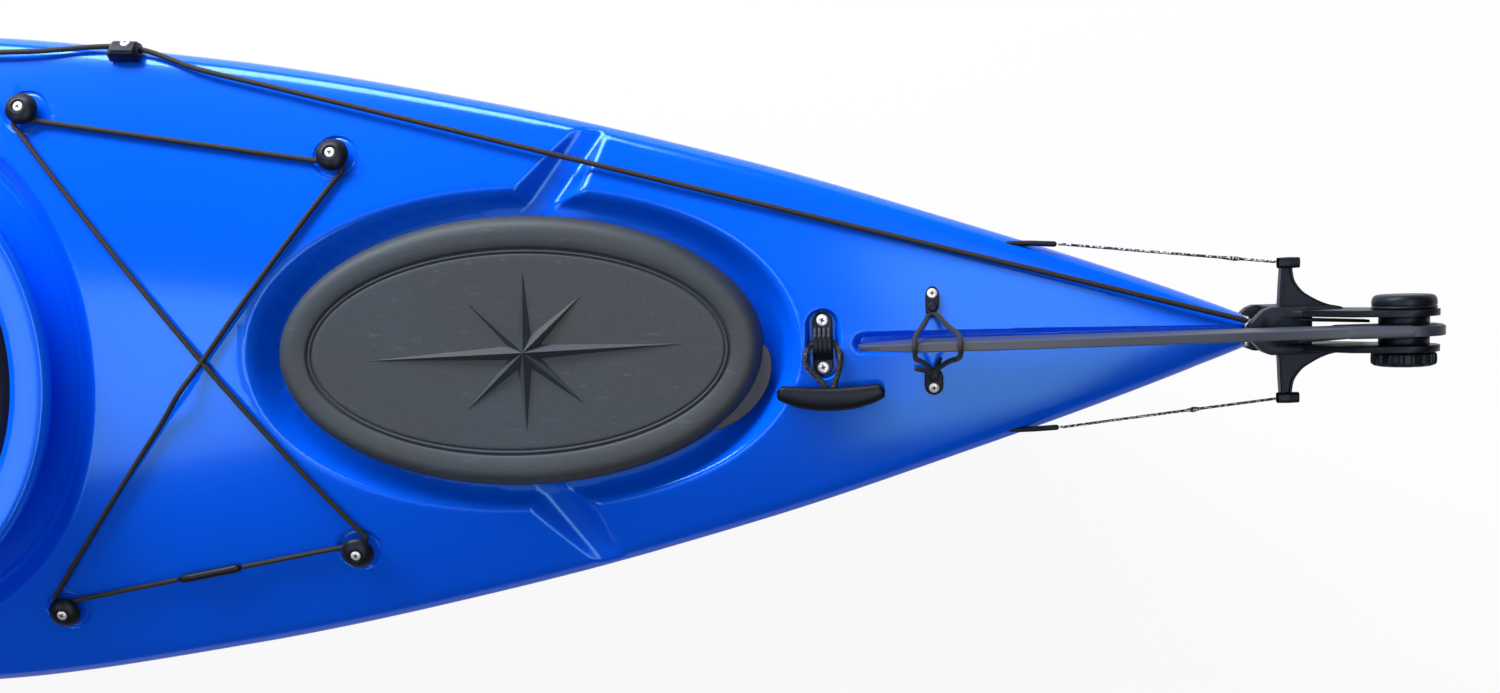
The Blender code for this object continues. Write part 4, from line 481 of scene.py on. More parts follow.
def rounded(points):
    """Points rounded into a smooth line by cutting its corners twice."""
    line = np.array(points)
    for _ in range(2):
        cut = np.empty((2 * len(line) - 2, line.shape[1]))
        cut[0::2] = 0.75 * line[:-1] + 0.25 * line[1:]
        cut[1::2] = 0.25 * line[:-1] + 0.75 * line[1:]
        line = np.concatenate([line[:1], cut, line[-1:]])
    return line


def along(line, share):
    """The columns of a line of points, each read at shares from the first point to the last."""
    return np.array([np.interp(share * (len(line) - 1), np.arange(len(line)), column) for column in line.T])


def coaming(u, v):
    """u runs round the cockpit, v up the wall's outside, under the flange, round its lip and back inside."""
    profile = rounded((
        (0.0045, -0.072), (0.0045, -0.012), (0.0075, -0.0055), (0.012, -0.0050), (0.030, -0.0050), (0.0335, -0.0065),
        (0.0345, -0.0120), (0.0370, -0.0120), (0.0375, -0.0045), (0.0335, -0.0006), (0.029, 0.0), (0.008, -0.0002),
        (0.0015, -0.003), (0.0, -0.008), (0.0, -0.072)))
    offset, drop = along(profile, v)
    angle = u * 2 * math.pi
    reach = np.where(np.cos(angle) > 0, COCKPIT[0], COCKPIT[1])
    x = COCKPIT_X + (reach + offset) * np.cos(angle)
    y = (COCKPIT[2] + offset) * np.sin(angle)
    foot = deck_surface(x, y) - 0.0085
    return x, y, np.where(drop < -0.05, np.minimum(foot, coaming_height(x) - 0.02), coaming_height(x) + drop)


piece("coaming", sheet_of(160, 70, coaming, closed=True), blue, "hull", ["deck_shell"])

# Hull: the lower shell of the same blue sheet, from the seam under the gunwale round the bilge to the flat
# keel, closed by a small upright face at the bow and at the stern.
def hull_skin(u, v):
    """u runs round a section from port to starboard, v along the hull from the bow."""
    x = np.clip(STERN * (2 * v - 1), -STERN, STERN)
    half = half_breadth(x)
    top = edge_height(x / STERN) - np.minimum(ROLL, 0.5 * half)
    depth = top - keel_height(x / STERN)
    angle = np.abs(2 * u - 1) * math.pi / 2
    y = np.sign(u - 0.5) * half * np.sin(angle) ** 0.75
    z = top - depth * np.maximum(np.cos(angle), 0.0) ** 0.55
    return x, y, np.maximum(z, 0.0)


hull_mesh = sheet_of(72, 260, hull_skin)
ends = [e for e in hull_mesh.edges if e.is_boundary and all(abs(abs(v.co.x) - STERN) < 1e-4 for v in e.verts)]
bmesh.ops.holes_fill(hull_mesh, edges=ends, sides=0)
thicken(piece("hull_skin", hull_mesh, blue, "hull", ["hull_shell"]))

# Hatch covers: soft black rubber lids, each moulded in one with a fat rolled rim, two fine groove lines, a
# low eight point star in its flat middle and a thumb tab on its aft port side.
def hatch_rubber():
    spot = place_of()
    grime = noise(spot, 9.0, 5.0, 0.6)
    smears = noise(place_of((14, 60, 10), (0, 0, 0.5)), 3.0, 5.0, 0.7).step(0.58, 0.74)
    specks = noise(spot, 900.0, 2.0).step(0.66, 0.72)
    pebble = noise(spot, 1500.0, 3.0)
    cloud = noise(place_of((1, 1.6, 1), (0, 0, 0.4)), 6.0, 6.0, 0.65).step(0.40, 0.62)
    base = mix(grime, rgb(40, 50, 62), rgb(50, 64, 78))
    base = mix(cloud * 0.45, base, rgb(52, 52, 54))
    base = mix(smears * 0.45, base, rgb(90, 97, 104))
    return {
        "Base Color": mix(specks * 0.5, base, rgb(102, 108, 116)),
        "Roughness": 0.50 + 0.14 * grime + 0.10 * smears,
        "Normal": bump(pebble, 0.00012, 0.5, bump(grime, 0.0006, 0.25)),
        "Specular IOR Level": 0.42,
    }


rubber = finish("hatch rubber", hatch_rubber)
COVER_TOP = 0.0306


def cover_mesh(middle, length, width):
    """A lid as one sheet, from the middle of its underside out round the rim and back over its top."""
    floor = bowl_floor(middle) + CLEAR
    profile = rounded((
        (-1.0, 0.0193), (-0.07, 0.0193), (-0.0217, 0.0193), (-0.0217, 0.0130), (-0.0147, 0.0046), (-0.0070, 0.0046),
        (-0.0012, 0.0090), (0.0, 0.0150), (-0.0016, 0.0235), (-0.0062, 0.0308), (-0.0135, 0.0338), (-0.0215, 0.0336),
        (-0.0270, 0.0322), (-0.0296, 0.0310), (-0.0302, 0.0288), (-0.0314, 0.0288), (-0.0320, 0.0308),
        (-0.0336, 0.0308), (-0.0342, 0.0292), (-0.0352, 0.0292), (-0.0360, COVER_TOP), (-0.045, COVER_TOP),
        (-0.07, COVER_TOP), (-1.0, COVER_TOP)))

    def place(u, v):
        offset, height = along(profile, v)
        angle = u * 2 * math.pi
        inner = np.clip((-offset - 0.07) / 0.93, 0.0, 1.0)
        offset = np.maximum(offset, -0.07)
        size_x = (length / 2 + offset) * (1 - inner)
        size_y = (width / 2 + offset) * (1 - inner)
        return middle + size_x * np.cos(angle), size_y * np.sin(angle), floor + height

    return sheet_of(180, len(profile) - 1, place, closed=True)


def star_mesh(middle, scale):
    """A shallow fan of eight spikes: four on the boat's axes and four between them."""
    reach = (0.1485, 0.0165, 0.0745, 0.0165, 0.0735, 0.0165, 0.0745, 0.0165)
    twist = {2: -2.5, 6: 2.5}
    lean, rise = 0.024, 0.0078
    floor = bowl_floor(middle) + CLEAR + COVER_TOP
    middle += 0.0085 * scale
    bm = bmesh.new()
    made = bmesh.ops.create_cone(bm, segments=16, radius1=1.0, radius2=0.0, depth=1.0, cap_ends=False)
    for vert in made["verts"]:
        if vert.co.z > 0:
            vert.co = (middle, 0.0, floor + rise)
            continue
        step = round(math.degrees(math.atan2(vert.co.y, vert.co.x)) / 22.5)
        size = reach[step % 8] * scale
        angle = math.radians(step * 22.5 + twist.get(step % 8, 0.0))
        x, y = size * math.cos(angle), size * math.sin(angle)
        vert.co = (middle + x + y * lean, y + x * lean, floor + 0.0002)
    capped(bm)
    bmesh.ops.triangulate(bm, faces=[f for f in bm.faces if len(f.verts) > 3])
    return bm


def tab_mesh(middle, length, width):
    """The thumb tab, which follows the rim."""
    def edge(share, out):
        angle = math.radians(38 * (share - 1))
        return middle + (length / 2 + out) * math.cos(angle), (width / 2 + out) * math.sin(angle)

    shares = [step / 24 for step in range(25)]
    outline = [edge(share, 0.012 * math.sin(math.pi * share) ** 0.6) for share in shares]
    outline += [edge(share, -0.012) for share in shares[::-1]]
    low = bowl_floor(middle) + 0.0163
    return slab(outline, low, low + 0.005, 0.0012)


def slab(outline, low, high, soft, bm=None, frame=None):
    """A plate of any outline with its rims rounded."""
    own = bmesh.new()
    face = own.faces.new([own.verts.new((x, y, low)) for x, y in outline])
    top = bmesh.ops.extrude_face_region(own, geom=[face])["geom"]
    bmesh.ops.translate(own, verts=[v for v in top if isinstance(v, bmesh.types.BMVert)], vec=(0, 0, high - low))
    bmesh.ops.recalc_face_normals(own, faces=own.faces)
    rims = [e for e in own.edges if abs(e.verts[0].co.z - e.verts[1].co.z) < 1e-7]
    bmesh.ops.bevel(own, geom=rims, offset=soft, segments=3, profile=0.5, affect="EDGES", material=-1,
                    clamp_overlap=True)
    if frame is not None:
        bmesh.ops.transform(own, matrix=frame, verts=own.verts)
    return joined(bm, own)


def joined(bm, own):
    """Adds one bmesh to another, or hands it on when it is the first."""
    if bm is None:
        return own
    mesh = baked("part", own)
    bm.from_mesh(mesh)
    bpy.data.meshes.remove(mesh)
    return bm


for end, hatch, scale in (("stern", STERN_HATCH, 1.0), ("bow", BOW_HATCH, 0.72)):
    piece(f"{end}_cover", cover_mesh(*hatch), rubber, f"{end}_cover", [f"{end}_hatch_cover"])
    piece(f"{end}_star", star_mesh(hatch[0], scale), rubber, f"{end}_cover", smooth=False)
    piece(f"{end}_cover_tab", tab_mesh(*hatch), rubber, f"{end}_cover", sharp=40)

# Deck bungees: a closed loop of braided elastic crosses each hold, runs round the bosses of four domed
# nylon fittings, each screwed down in a shallow dish, and is joined in a shrunk sleeve on its port strand.
def moulded_black():
    spot = place_of()
    tone = noise(spot, 14.0, 4.0)
    pebble = noise(spot, 1300.0, 3.0)
    wear = noise(place_of((30, 90, 60)), 6.0, 5.0, 0.7).step(0.60, 0.72)
    return {
        "Base Color": mix(wear * 0.25, mix(tone, rgb(12, 14, 19), rgb(20, 23, 30)), rgb(46, 51, 62)),
        "Roughness": 0.34 + 0.12 * tone + 0.15 * wear,
        "Normal": bump(pebble, 0.00006, 0.4),
        "Specular IOR Level": 0.26,
        "Specular Tint": (0.62, 0.74, 1.0, 1.0),
    }


nylon = finish("black nylon", moulded_black)


def uv_map(name):
    return Value.node("ShaderNodeUVMap", {"uv_map": name})


def screw_steel():
    x, y = ((part - 0.5).maths("ABSOLUTE") for part in uv_map("face").parts()[:2])
    bar_x = (1 - x.step(0.05, 0.08)) * (1 - y.step(0.20, 0.24))
    bar_y = (1 - y.step(0.05, 0.08)) * (1 - x.step(0.20, 0.24))
    cross = bar_x.maths("MAXIMUM", bar_y)
    brushed = noise(place_of((300, 300, 300)), 4.0)
    return {
        # The cross recess is painted near black: painted shade in the recess, on the same mask that sinks it with the
        # bump.
        "Base Color": mix(cross, mix(brushed, rgb(228, 229, 230), rgb(240, 240, 241)), rgb(46, 48, 52)),
        "Metallic": 0.35 - 0.30 * cross,
        "Roughness": 0.30 + 0.10 * brushed + 0.3 * cross,
        "Normal": bump(1 - cross, 0.0006, 0.8),
    }


steel = finish("stainless screw", screw_steel)


def deck_normal(x, y):
    """The direction that the deck faces, before its recesses."""
    step = 0.002
    return Vector(((plain_deck(x - step, y) - plain_deck(x + step, y)) / (2 * step),
                   (plain_deck(x, y - step) - plain_deck(x, y + step)) / (2 * step), 1.0)).normalized()


def deck_point(x, y, lift=0.0):
    """A point on the deck before its recesses, lifted along the surface's normal."""
    return Vector((x, y, plain_deck(x, y))) + deck_normal(x, y) * lift


def frame_of(origin, *axes):
    """A frame from its origin and its X, Y and Z."""
    made = Matrix(axes).transposed().to_4x4()
    made.translation = origin
    return made


def deck_place(x, y, lift=0.0):
    """A frame on the deck with Z along its normal and X along the boat."""
    up = deck_normal(x, y)
    side = up.cross(Vector((1, 0, 0))).normalized()
    return frame_of(deck_point(x, y, lift), side.cross(up), side, up)


def spun(profile, frame, steps, bm=None, uv=None):
    """A round piece spun from (radius, height) points about the frame's Z."""
    own = bmesh.new()
    verts = [own.verts.new((r, 0.0, z)) for r, z in profile]
    edges = [own.edges.new(pair) for pair in zip(verts, verts[1:])]
    bmesh.ops.spin(own, geom=verts + edges, cent=(0, 0, 0), axis=(0, 0, 1), dvec=(0, 0, 0), angle=2 * math.pi,
                   steps=steps, use_merge=True, use_duplicate=False)
    bmesh.ops.remove_doubles(own, verts=own.verts, dist=1e-6)
    bmesh.ops.recalc_face_normals(own, faces=own.faces)
    if uv:
        mapped(own, "face", uv)
    bmesh.ops.transform(own, matrix=frame, verts=own.verts)
    return joined(bm, own)


screws = bmesh.new()


def screw(frame, spot, r, turn=0.0):
    """A pan head screw of radius r with a cross recess, at a spot of the frame."""
    def face(co):
        return 0.5 + co.x / r / 2, 0.5 + co.y / r / 2

    profile = ((0.0, 0.0), (r * 0.98, 0.0), (r, 0.0003), (r * 0.93, 0.0011), (r * 0.6, 0.0017), (0.0, 0.0019))
    spun(rounded(profile), frame @ Matrix.Translation(spot) @ Matrix.Rotation(turn, 4, "Z"), 24, screws, face)


def dome_mesh(x, y):
    """A domed fitting on its narrow boss, with its screw."""
    frame = deck_place(x, y, CLEAR - 0.0015)
    r, h = 0.0155, 0.0165
    outer = rounded(((0.0, 0.0), (0.0052, 0.0), (0.004, 0.002), (0.004, 0.0078), (r - 0.001, 0.0078), (r, 0.0088),
                     (r * 0.985, 0.0105), (r * 0.90, 0.0128), (r * 0.70, 0.0152), (0.0075, h), (0.0062, h),
                     (0.0056, h - 0.0014), (0.0, h - 0.0014)))
    screw(frame, (0, 0, h - 0.0014), 0.0049, x * 40 + y * 9)
    return spun(outer, frame, 40)


for end, fore, aft in DOMES:
    for row, (x, y) in (("fore", fore), ("aft", aft)):
        for word, side in SIDES:
            node = f"{end}_dome_{row}_{word}"
            piece(node + "_cap", dome_mesh(x, side * y), nylon, "hull", [node], sharp=50)


def braid(tone, light, strands, pitch, least=0.60):
    """Braided cover: two sets of slanting yarns over a map that runs round and along the cord."""
    def build():
        turn, run = uv_map("run").parts()[:2]
        round_it = turn * strands * 2 * math.pi
        along_it = run * (2 * math.pi / pitch)
        over = (round_it + along_it).maths("SINE").maths("MAXIMUM", (round_it - along_it).maths("SINE")) * 0.5 + 0.5
        fuzz = noise(place_of(), 2500.0, 2.0)
        fleck = noise(place_of(), 420.0, 1.0).step(least, least + 0.06)
        # The yarns are painted darker where the braid dips between them: painted shade between the yarns.
        base = mix(over, rgb(*(c * 0.45 for c in tone)), rgb(*tone))
        return {
            "Base Color": mix(fleck * over * 0.9, base, rgb(*light)),
            "Roughness": 0.62 + 0.2 * fuzz,
            "Normal": bump(over + 0.3 * fuzz, 0.0003, 0.8),
            "Sheen Weight": 0.04,
        }
    return build


CORD = 0.0025
elastic = finish("braided elastic", braid((10, 11, 15), (24, 26, 32), 4, 0.0042))


def through(points, step):
    """Points about one step apart on a smooth curve through the chosen points."""
    points = [Vector(p) for p in points]
    ends = [points[0] * 2 - points[1]] + points + [points[-1] * 2 - points[-2]]
    curve = [points[0]]
    for a, b, c, d in zip(ends, ends[1:], ends[2:], ends[3:]):
        count = max(1, round((c - b).length / step))
        for i in range(1, count + 1):
            t = i / count
            bend = (2 * a - 5 * b + 4 * c - d) * t * t + (3 * b - a - 3 * c + d) * t ** 3
            curve.append((2 * b + (c - a) * t + bend) / 2)
    return curve


def cord_mesh(points, radius, sides=12, swell=None):
    """A tube along points, with rounded ends and a map that runs round and along it."""
    path = np.array([tuple(p) for p in points])
    reach = np.concatenate([[0.0], np.cumsum(np.linalg.norm(np.diff(path, axis=0), axis=1))])
    total, least = reach[-1], radius * 1.2
    caps = radius * np.array((0.0, 0.13, 0.5, 1.0))
    places = np.concatenate([caps, reach[(reach > least) & (reach < total - least)], total - caps[::-1]])
    sizes = np.full(len(places), radius)
    for i, share in enumerate((0.0, 0.5, 0.87)):
        sizes[i] = sizes[-1 - i] = radius * share
    if swell:
        sizes = sizes * swell(places / total)
    spots = np.stack([np.interp(places, reach, path[:, k]) for k in range(3)], axis=1)
    ahead = np.gradient(spots, axis=0)
    ahead /= np.maximum(np.linalg.norm(ahead, axis=1, keepdims=True), 1e-9)
    side = np.empty_like(ahead)
    last = np.cross(ahead[0], (0.0, 0.0, 1.0))
    if np.linalg.norm(last) < 0.1:
        last = np.cross(ahead[0], (0.0, 1.0, 0.0))
    for i, way in enumerate(ahead):
        last = last - way * np.dot(last, way)
        last /= np.linalg.norm(last)
        side[i] = last
    up = np.cross(side, ahead)

    def place(u, v):
        i = np.rint(v * (len(places) - 1)).astype(int)
        angle = u[:, None] * 2 * math.pi
        at = spots[i] + (side[i] * np.cos(angle) + up[i] * np.sin(angle)) * sizes[i][:, None]
        return at.T

    def run(cell):
        return cell.x + 0.5, places[round((cell.y + 0.5) * (len(places) - 1))]

    return sheet_of(sides, len(places) - 1, place, closed=True, uv=run)


def belt(pulleys, radius, turn_steps):
    """Plan points of a cord run round (x, y, sense) turns."""
    lines = []
    for (ax, ay, sa), (bx, by, sb) in zip(pulleys, pulleys[1:] + pulleys[:1]):
        reach = math.hypot(bx - ax, by - ay)
        ahead = math.atan2(by - ay, bx - ax) - math.asin((sa - sb) * radius / reach)
        left = Vector((-math.sin(ahead), math.cos(ahead)))
        lines.append((Vector((ax, ay)) + left * sa * radius, Vector((bx, by)) + left * sb * radius))
    runs = []
    for i, (start, end) in enumerate(lines):
        runs.append([start, end])
        x, y, sense = pulleys[(i + 1) % len(pulleys)]
        leave = lines[(i + 1) % len(lines)][0]
        a = math.atan2(end.y - y, end.x - x)
        b = math.atan2(leave.y - y, leave.x - x)
        turn = (a - b) % (2 * math.pi) if sense > 0 else -((b - a) % (2 * math.pi))
        angles = [a - turn * step / turn_steps for step in range(1, turn_steps)]
        runs.append([Vector((x, y)) + Vector((math.cos(g), math.sin(g))) * radius for g in angles])
    return runs


def bungee_route(fore, aft):
    """The loop's middle line: it crosses itself once and starts and ends in the sleeve."""
    (fx, fy), (ax, ay) = fore, aft
    lift = 0.0038
    boss, inset = 0.0045, 0.012
    turns = [(fx - boss, fy - inset, 1), (ax + boss, ay - inset, 1), (fx - boss, inset - fy, -1),
             (ax + boss, inset - ay, -1)]
    runs = belt(turns, boss, 10)

    def strand(start, end, over=0.0):
        count = max(2, round((end - start).length / 0.008))
        found = []
        for step in range(count + 1):
            plan = start.lerp(end, step / count)
            crossing = math.exp(-((plan - (start + end) / 2).length / 0.022) ** 2)
            found.append(deck_point(plan.x, plan.y, lift + over * crossing))
        return found

    first, last = runs[4]
    share = 0.033 / (last - first).length
    before, after = first.lerp(last, 0.5 - share), first.lerp(last, 0.5 + share)
    route = strand(after, last)
    for i in (5, 6, 7, 0, 1, 2, 3):
        if i % 2:
            route += [deck_point(p.x, p.y, lift) for p in runs[i]]
        else:
            route += strand(*runs[i], 0.006 if i == 2 else 0.0)
    route += strand(first, before)
    kept = route[:1]
    for spot in route[1:]:
        if (spot - kept[-1]).length > 0.0008:
            kept.append(spot)
    return kept


def shrunk(share):
    """The sleeve's size along it: drawn in at both ends."""
    return 0.62 + 0.38 * np.clip(np.minimum(share, 1 - share) * 14, 0, 1)


for end, fore, aft in DOMES:
    route = bungee_route(fore, aft)
    piece(f"{end}_elastic", cord_mesh(route, CORD), elastic, "hull", [f"{end}_bungee"])
    ahead = (route[0] - route[-1]).normalized() * CLEAR
    lift = Vector((0, 0, 0.00175))
    run = [(route[-1] + ahead).lerp(route[0] - ahead, k / 20) for k in range(21)]
    run = [p + lift * min(1.0, 6 * min(k, 20 - k) / 20) for k, p in enumerate(run)]
    piece(f"{end}_sleeve", cord_mesh(run, 0.00425, 16, shrunk), nylon, "hull", [f"{end}_bungee_sleeve"])

# Padeyes: a nylon foot in its own dish, with a ribbed strap that the toggle's cord passes under and a
# screw at each end.
def bar_mesh(spots, halves, heights, power, sides, steps, up=(0, 0, 1), bm=None):
    """A closed bar along spots whose section is a rounded box of changing half width and half height."""
    line = np.array([tuple(p) for p in spots])

    def place(u, v):
        share = 0.5 - 0.5 * np.cos(v * math.pi)
        ahead = (along(line, np.clip(share + 0.01, 0, 1)) - along(line, np.clip(share - 0.01, 0, 1))).T
        ahead /= np.linalg.norm(ahead, axis=1, keepdims=True)
        side = np.cross(ahead, np.array(up))
        side /= np.linalg.norm(side, axis=1, keepdims=True)
        wide, high = along(np.array([halves, heights]).T, share)
        round_x, round_y = np.cos(u * 2 * math.pi), np.sin(u * 2 * math.pi)
        a = np.sign(round_x) * np.abs(round_x) ** (2 / power) * wide
        b = np.sign(round_y) * np.abs(round_y) ** (2 / power) * high
        return along(line, share) + side.T * a + np.cross(side, ahead).T * b

    return joined(bm, sheet_of(sides, steps, place, closed=True))


def padeye_place(x):
    """A frame on the floor of a padeye's dish."""
    tilt = math.atan2(ridge(x + 0.02) - ridge(x - 0.02), 0.04)
    spot = Matrix.Translation((x, 0.0, ridge(x) - PADEYE_SINK + CLEAR))
    return spot @ Matrix.Rotation(-tilt, 4, "Y")


def stadium(length, width):
    """A round ended outline that runs along Y."""
    count = 16
    straight = (length - width) / 2
    points = []
    for end, first in ((1, 0.0), (-1, math.pi)):
        for i in range(count + 1):
            a = first + math.pi * i / count
            points.append((width / 2 * math.cos(a), end * straight + width / 2 * math.sin(a)))
    return points


def padeye_mesh(x):
    """The foot, the strap's four ribs and the two screws."""
    frame = padeye_place(x)
    bm = slab(stadium(0.058, 0.018), 0.0, 0.0038, 0.0012, frame=frame)
    strap = ((-0.0140, 0.0030), (-0.0105, 0.0052), (-0.0065, 0.0084), (-0.003, 0.0094), (0.003, 0.0094),
             (0.0065, 0.0084), (0.0105, 0.0052), (0.0140, 0.0030))
    for aside in (-0.0062, -0.0021, 0.0021, 0.0062):
        bar_mesh([frame @ Vector((aside, y, z)) for y, z in strap], [0.0026] * 3, [0.0014, 0.0017, 0.0014], 2.6,
                 14, 40, frame.col[2].xyz, bm)
    for y in (-0.0212, 0.0212):
        screw(frame, (0, y, 0.0037), 0.0053, y * 60)
    return bm


for end, x in PADEYES:
    piece(f"{end}_padeye_strap", padeye_mesh(x), nylon, "hull", [f"{end}_padeye"], sharp=45)

# Carry toggles: a hollow-backed moulded grip that swells in the middle, on a loop of braided cord that
# goes under the padeye's strap and into the grip.
toggle_braid = finish("toggle braid", braid((12, 13, 16), (88, 92, 100), 3, 0.0052))


def toggle_route(x):
    """The toggle's cord, from one end of the grip under the strap and back to the other."""
    frame = padeye_place(x)
    pivot = frame @ Vector((0, 0, 0.0038))
    half = []
    for across, aside, lift in ((-0.0395, 0.0027, 0.0080), (-0.029, 0.0090, 0.0056), (-0.018, 0.015, 0.0040),
                                (-0.009, 0.0152, 0.0024), (-0.003, 0.0132, -0.0050), (0.0, 0.0095, None)):
        z = pivot.z if lift is None else max(plain_deck(x, across) + lift, pivot.z)
        half.append((aside, across, z))
    lean = [0.006, 0.003] + [0.0] * (len(half) - 2)
    chosen = [(x + shift + a, y, z) for shift, (a, y, z) in zip(lean, half)] + [(x, 0.0, pivot.z)]
    chosen += [(x + shift - a, y, z) for shift, (a, y, z) in zip(lean[::-1], half[::-1])]
    return through(chosen, 0.003)


def grip_mesh(x):
    """The grip, hollow towards the padeye and fattest in its middle."""
    frame = deck_place(x + 0.006, -0.0475)
    spots, wide, high = [], [], []
    for step in range(41):
        u = step / 20 - 1
        bow = 0.0078 * abs(u) ** 2.2
        spots.append(frame @ Vector((u * 0.0485, bow, 0.0076)))
        end = math.sqrt(max(1 - max(abs(u) - 0.93, 0) ** 2 / 0.07 ** 2, 0.0))
        wide.append(0.011 * (1 - 0.46 * abs(u) ** 2.6) * end)
        high.append(0.0070 * (1 - 0.30 * abs(u) ** 3.2) * end)
    return bar_mesh(spots, wide, high, 2.2, 28, 64, frame.col[2].xyz)


for end, x in PADEYES:
    piece(f"{end}_grip", grip_mesh(x), nylon, f"{end}_toggle", [f"{end}_toggle_grip"])
    piece(f"{end}_grip_cord", cord_mesh(toggle_route(x), CORD), toggle_braid, f"{end}_toggle", [f"{end}_toggle_cord"])

# Blade loop: two small nylon feet screwed beside the groove and a loop of elastic between them that holds
# the stowed blade down; it is knotted at the port foot and its two cut ends stand out.
LOOP_X, LOOP_Y, LOOP_CORD = STERN - 0.270, 0.036, 0.00225
PIN_X = STERN + 0.014
PIVOT = (PIN_X + 0.105, 0.0, 0.348)
BLADE_ROOT, BLADE_TIP = 0.032, 0.080


def loop_foot(side):
    """A square foot with a post on the starboard side, a round ended one on the port side."""
    frame = deck_place(LOOP_X, side * LOOP_Y)
    if side > 0:
        outline = [(-0.0062, -0.0118), (0.0062, -0.0118), (0.0062, 0.0118), (-0.0062, 0.0118)]
        bm = slab(rounded(outline + outline[:1])[:-1], CLEAR, 0.0048, 0.0012, frame=frame)
        slab(stadium(0.0085, 0.0082), 0.004, 0.0078, 0.0014, bm, frame @ Matrix.Translation((0, -0.0070, 0)))
        screw(frame, (0, 0.0052, 0.0047), 0.0046)
    else:
        bm = slab(stadium(0.024, 0.0165), CLEAR, 0.0040, 0.0012, frame=frame)
        slab(stadium(0.0105, 0.0095), 0.003, 0.0070, 0.0016, bm, frame @ Matrix.Translation((0, 0.0062, 0)))
        screw(frame, (0, -0.0048, 0.0039), 0.0046)
    return bm


for word, side in SIDES:
    piece(f"loop_foot_{word}", loop_foot(side), nylon, "hull", [f"loop_fitting_{word}"], sharp=45)

top = PIVOT[2] + BLADE_TIP - BLADE_ROOT + LOOP_CORD + 0.0036
low = plain_deck(LOOP_X, LOOP_Y)
seat = LOOP_Y - 0.012 - LOOP_CORD - CLEAR
side = 0.005 + LOOP_CORD + 0.002
half = [(0.0030, -seat - 0.003, low + 0.006), (0.011, -side - 0.006, (low + top) / 2), (0.0178, -side, top - 0.012),
        (0.0188, 0.0, top), (0.0178, side, top - 0.012), (0.0108, side + 0.006, (low + top) / 2),
        (0.0030, seat + 0.002, low + 0.009)]
route = through([(LOOP_X - a, y, z) for a, y, z in half] + [(LOOP_X + a, y, z) for a, y, z in half[::-1]], 0.004)
piece("blade_loop_cord", cord_mesh(route, LOOP_CORD, 14), elastic, "hull", ["blade_loop"])

# Knot: two fat turns of the same elastic that join the loop's ends at the port foot, and the two cut stubs
# that stand out of them.
knot_spot = Vector((LOOP_X - 0.001, -0.0275, low + 0.0080))
for name, radius, step, points in (
        ("knot_turn_1", 0.0024, 0.002, ((-0.006, 0.0005, -0.0015), (0, 0.0012, 0.0012), (0.0055, 0.0020, 0.0015))),
        ("knot_turn_2", 0.0024, 0.002, ((-0.0040, -0.0020, 0.0020), (0, 0.0012, -0.0012), (0.0060, -0.0005, 0.0))),
        ("knot_stub_1", 0.0021, 0.003, ((0.002, 0.001, 0.001), (0.0045, 0.0075, 0.0040), (0.0068, 0.0135, 0.0050))),
        ("knot_stub_2", 0.0021, 0.003, ((-0.003, 0.0, 0.0), (-0.0095, 0.0022, -0.0005), (-0.0165, 0.0035, -0.0022)))):
    run = through([knot_spot + Vector(p) for p in points], step)
    piece(name, cord_mesh(run, radius), elastic, "hull")

# Lift line: a cord along the starboard deck edge that draws the blade up; it runs through a screwed nylon
# block, and past the cockpit through a cleat to a pull.
line_braid = finish("line braid", braid((10, 11, 15), (30, 32, 38), 4, 0.0040))
steel_line = finish("flecked line", braid((12, 13, 15), (240, 242, 244), 2, 0.0062, 0.49))
HEAD_TOP = 0.3145
ARM_TOP = HEAD_TOP - 0.006
ARM_REACH = 0.0585
FAIRLEAD, CLEAT = (1.027, 0.0085), (1.760, 0.030)


def edge_place(from_stern, inset):
    """A place on the starboard deck, inset from its edge."""
    x = STERN - from_stern
    return x, half_breadth(x) - inset


def lift_route():
    """The middle line of the lift line from its cleat to the rudder's head."""
    lift = CORD + 0.0035
    cleat, lead = deck_point(*edge_place(*CLEAT), lift), deck_point(*edge_place(*FAIRLEAD), lift)
    end = Vector((PIN_X - 0.013 * 0.85 - 0.0020, 0.0095, HEAD_TOP - CORD - 0.0008))
    route = []
    for step in range(9):
        spot = cleat.lerp(lead, step / 8)
        route.append(deck_point(spot.x, spot.y, lift))
    for step in range(1, 15):
        spot = lead.lerp(end, step / 14)
        if step < 13:
            spot.z = max(spot.z, plain_deck(spot.x, spot.y) + CORD + 0.0013)
        route.append(spot)
    return route


lift_path = lift_route()
piece("lift_line_cord", cord_mesh(through(lift_path, 0.010), CORD), line_braid, "hull", ["lift_line"])

# Steering lines: thin flecked cord, from a nylon tube that leaves the deck in each gunwale to the end of a
# rudder arm, each with a knot.
def tube_route(side):
    """The tube's middle line, from the forward bulkhead of the stern hold up through the deck."""
    bulkhead, out = STERN - 1.010, STERN - 0.193
    chosen = [(x, half_breadth(x) - inset, z) for x, inset, z in (
        (bulkhead - 0.18, 0.016, 0.150), (bulkhead, 0.018, 0.165), (bulkhead + 0.35, 0.020, 0.205),
        (out - 0.16, 0.020, 0.238))]
    across = 0.0835
    chosen += [(out - 0.04, across - 0.001, plain_deck(out - 0.04, across) - 0.010),
               (out, across, plain_deck(out, across) + 0.00125),
               (out + 0.034, across - 0.002, plain_deck(out, across) + 0.0075)]
    return [(x, side * y, z) for x, y, z in chosen]


def knotted(place):
    """The line's size along it, with a knot at one place."""
    def size(share):
        return 1 + 1.15 * np.exp(-((share - place) / 0.018) ** 2)
    return size


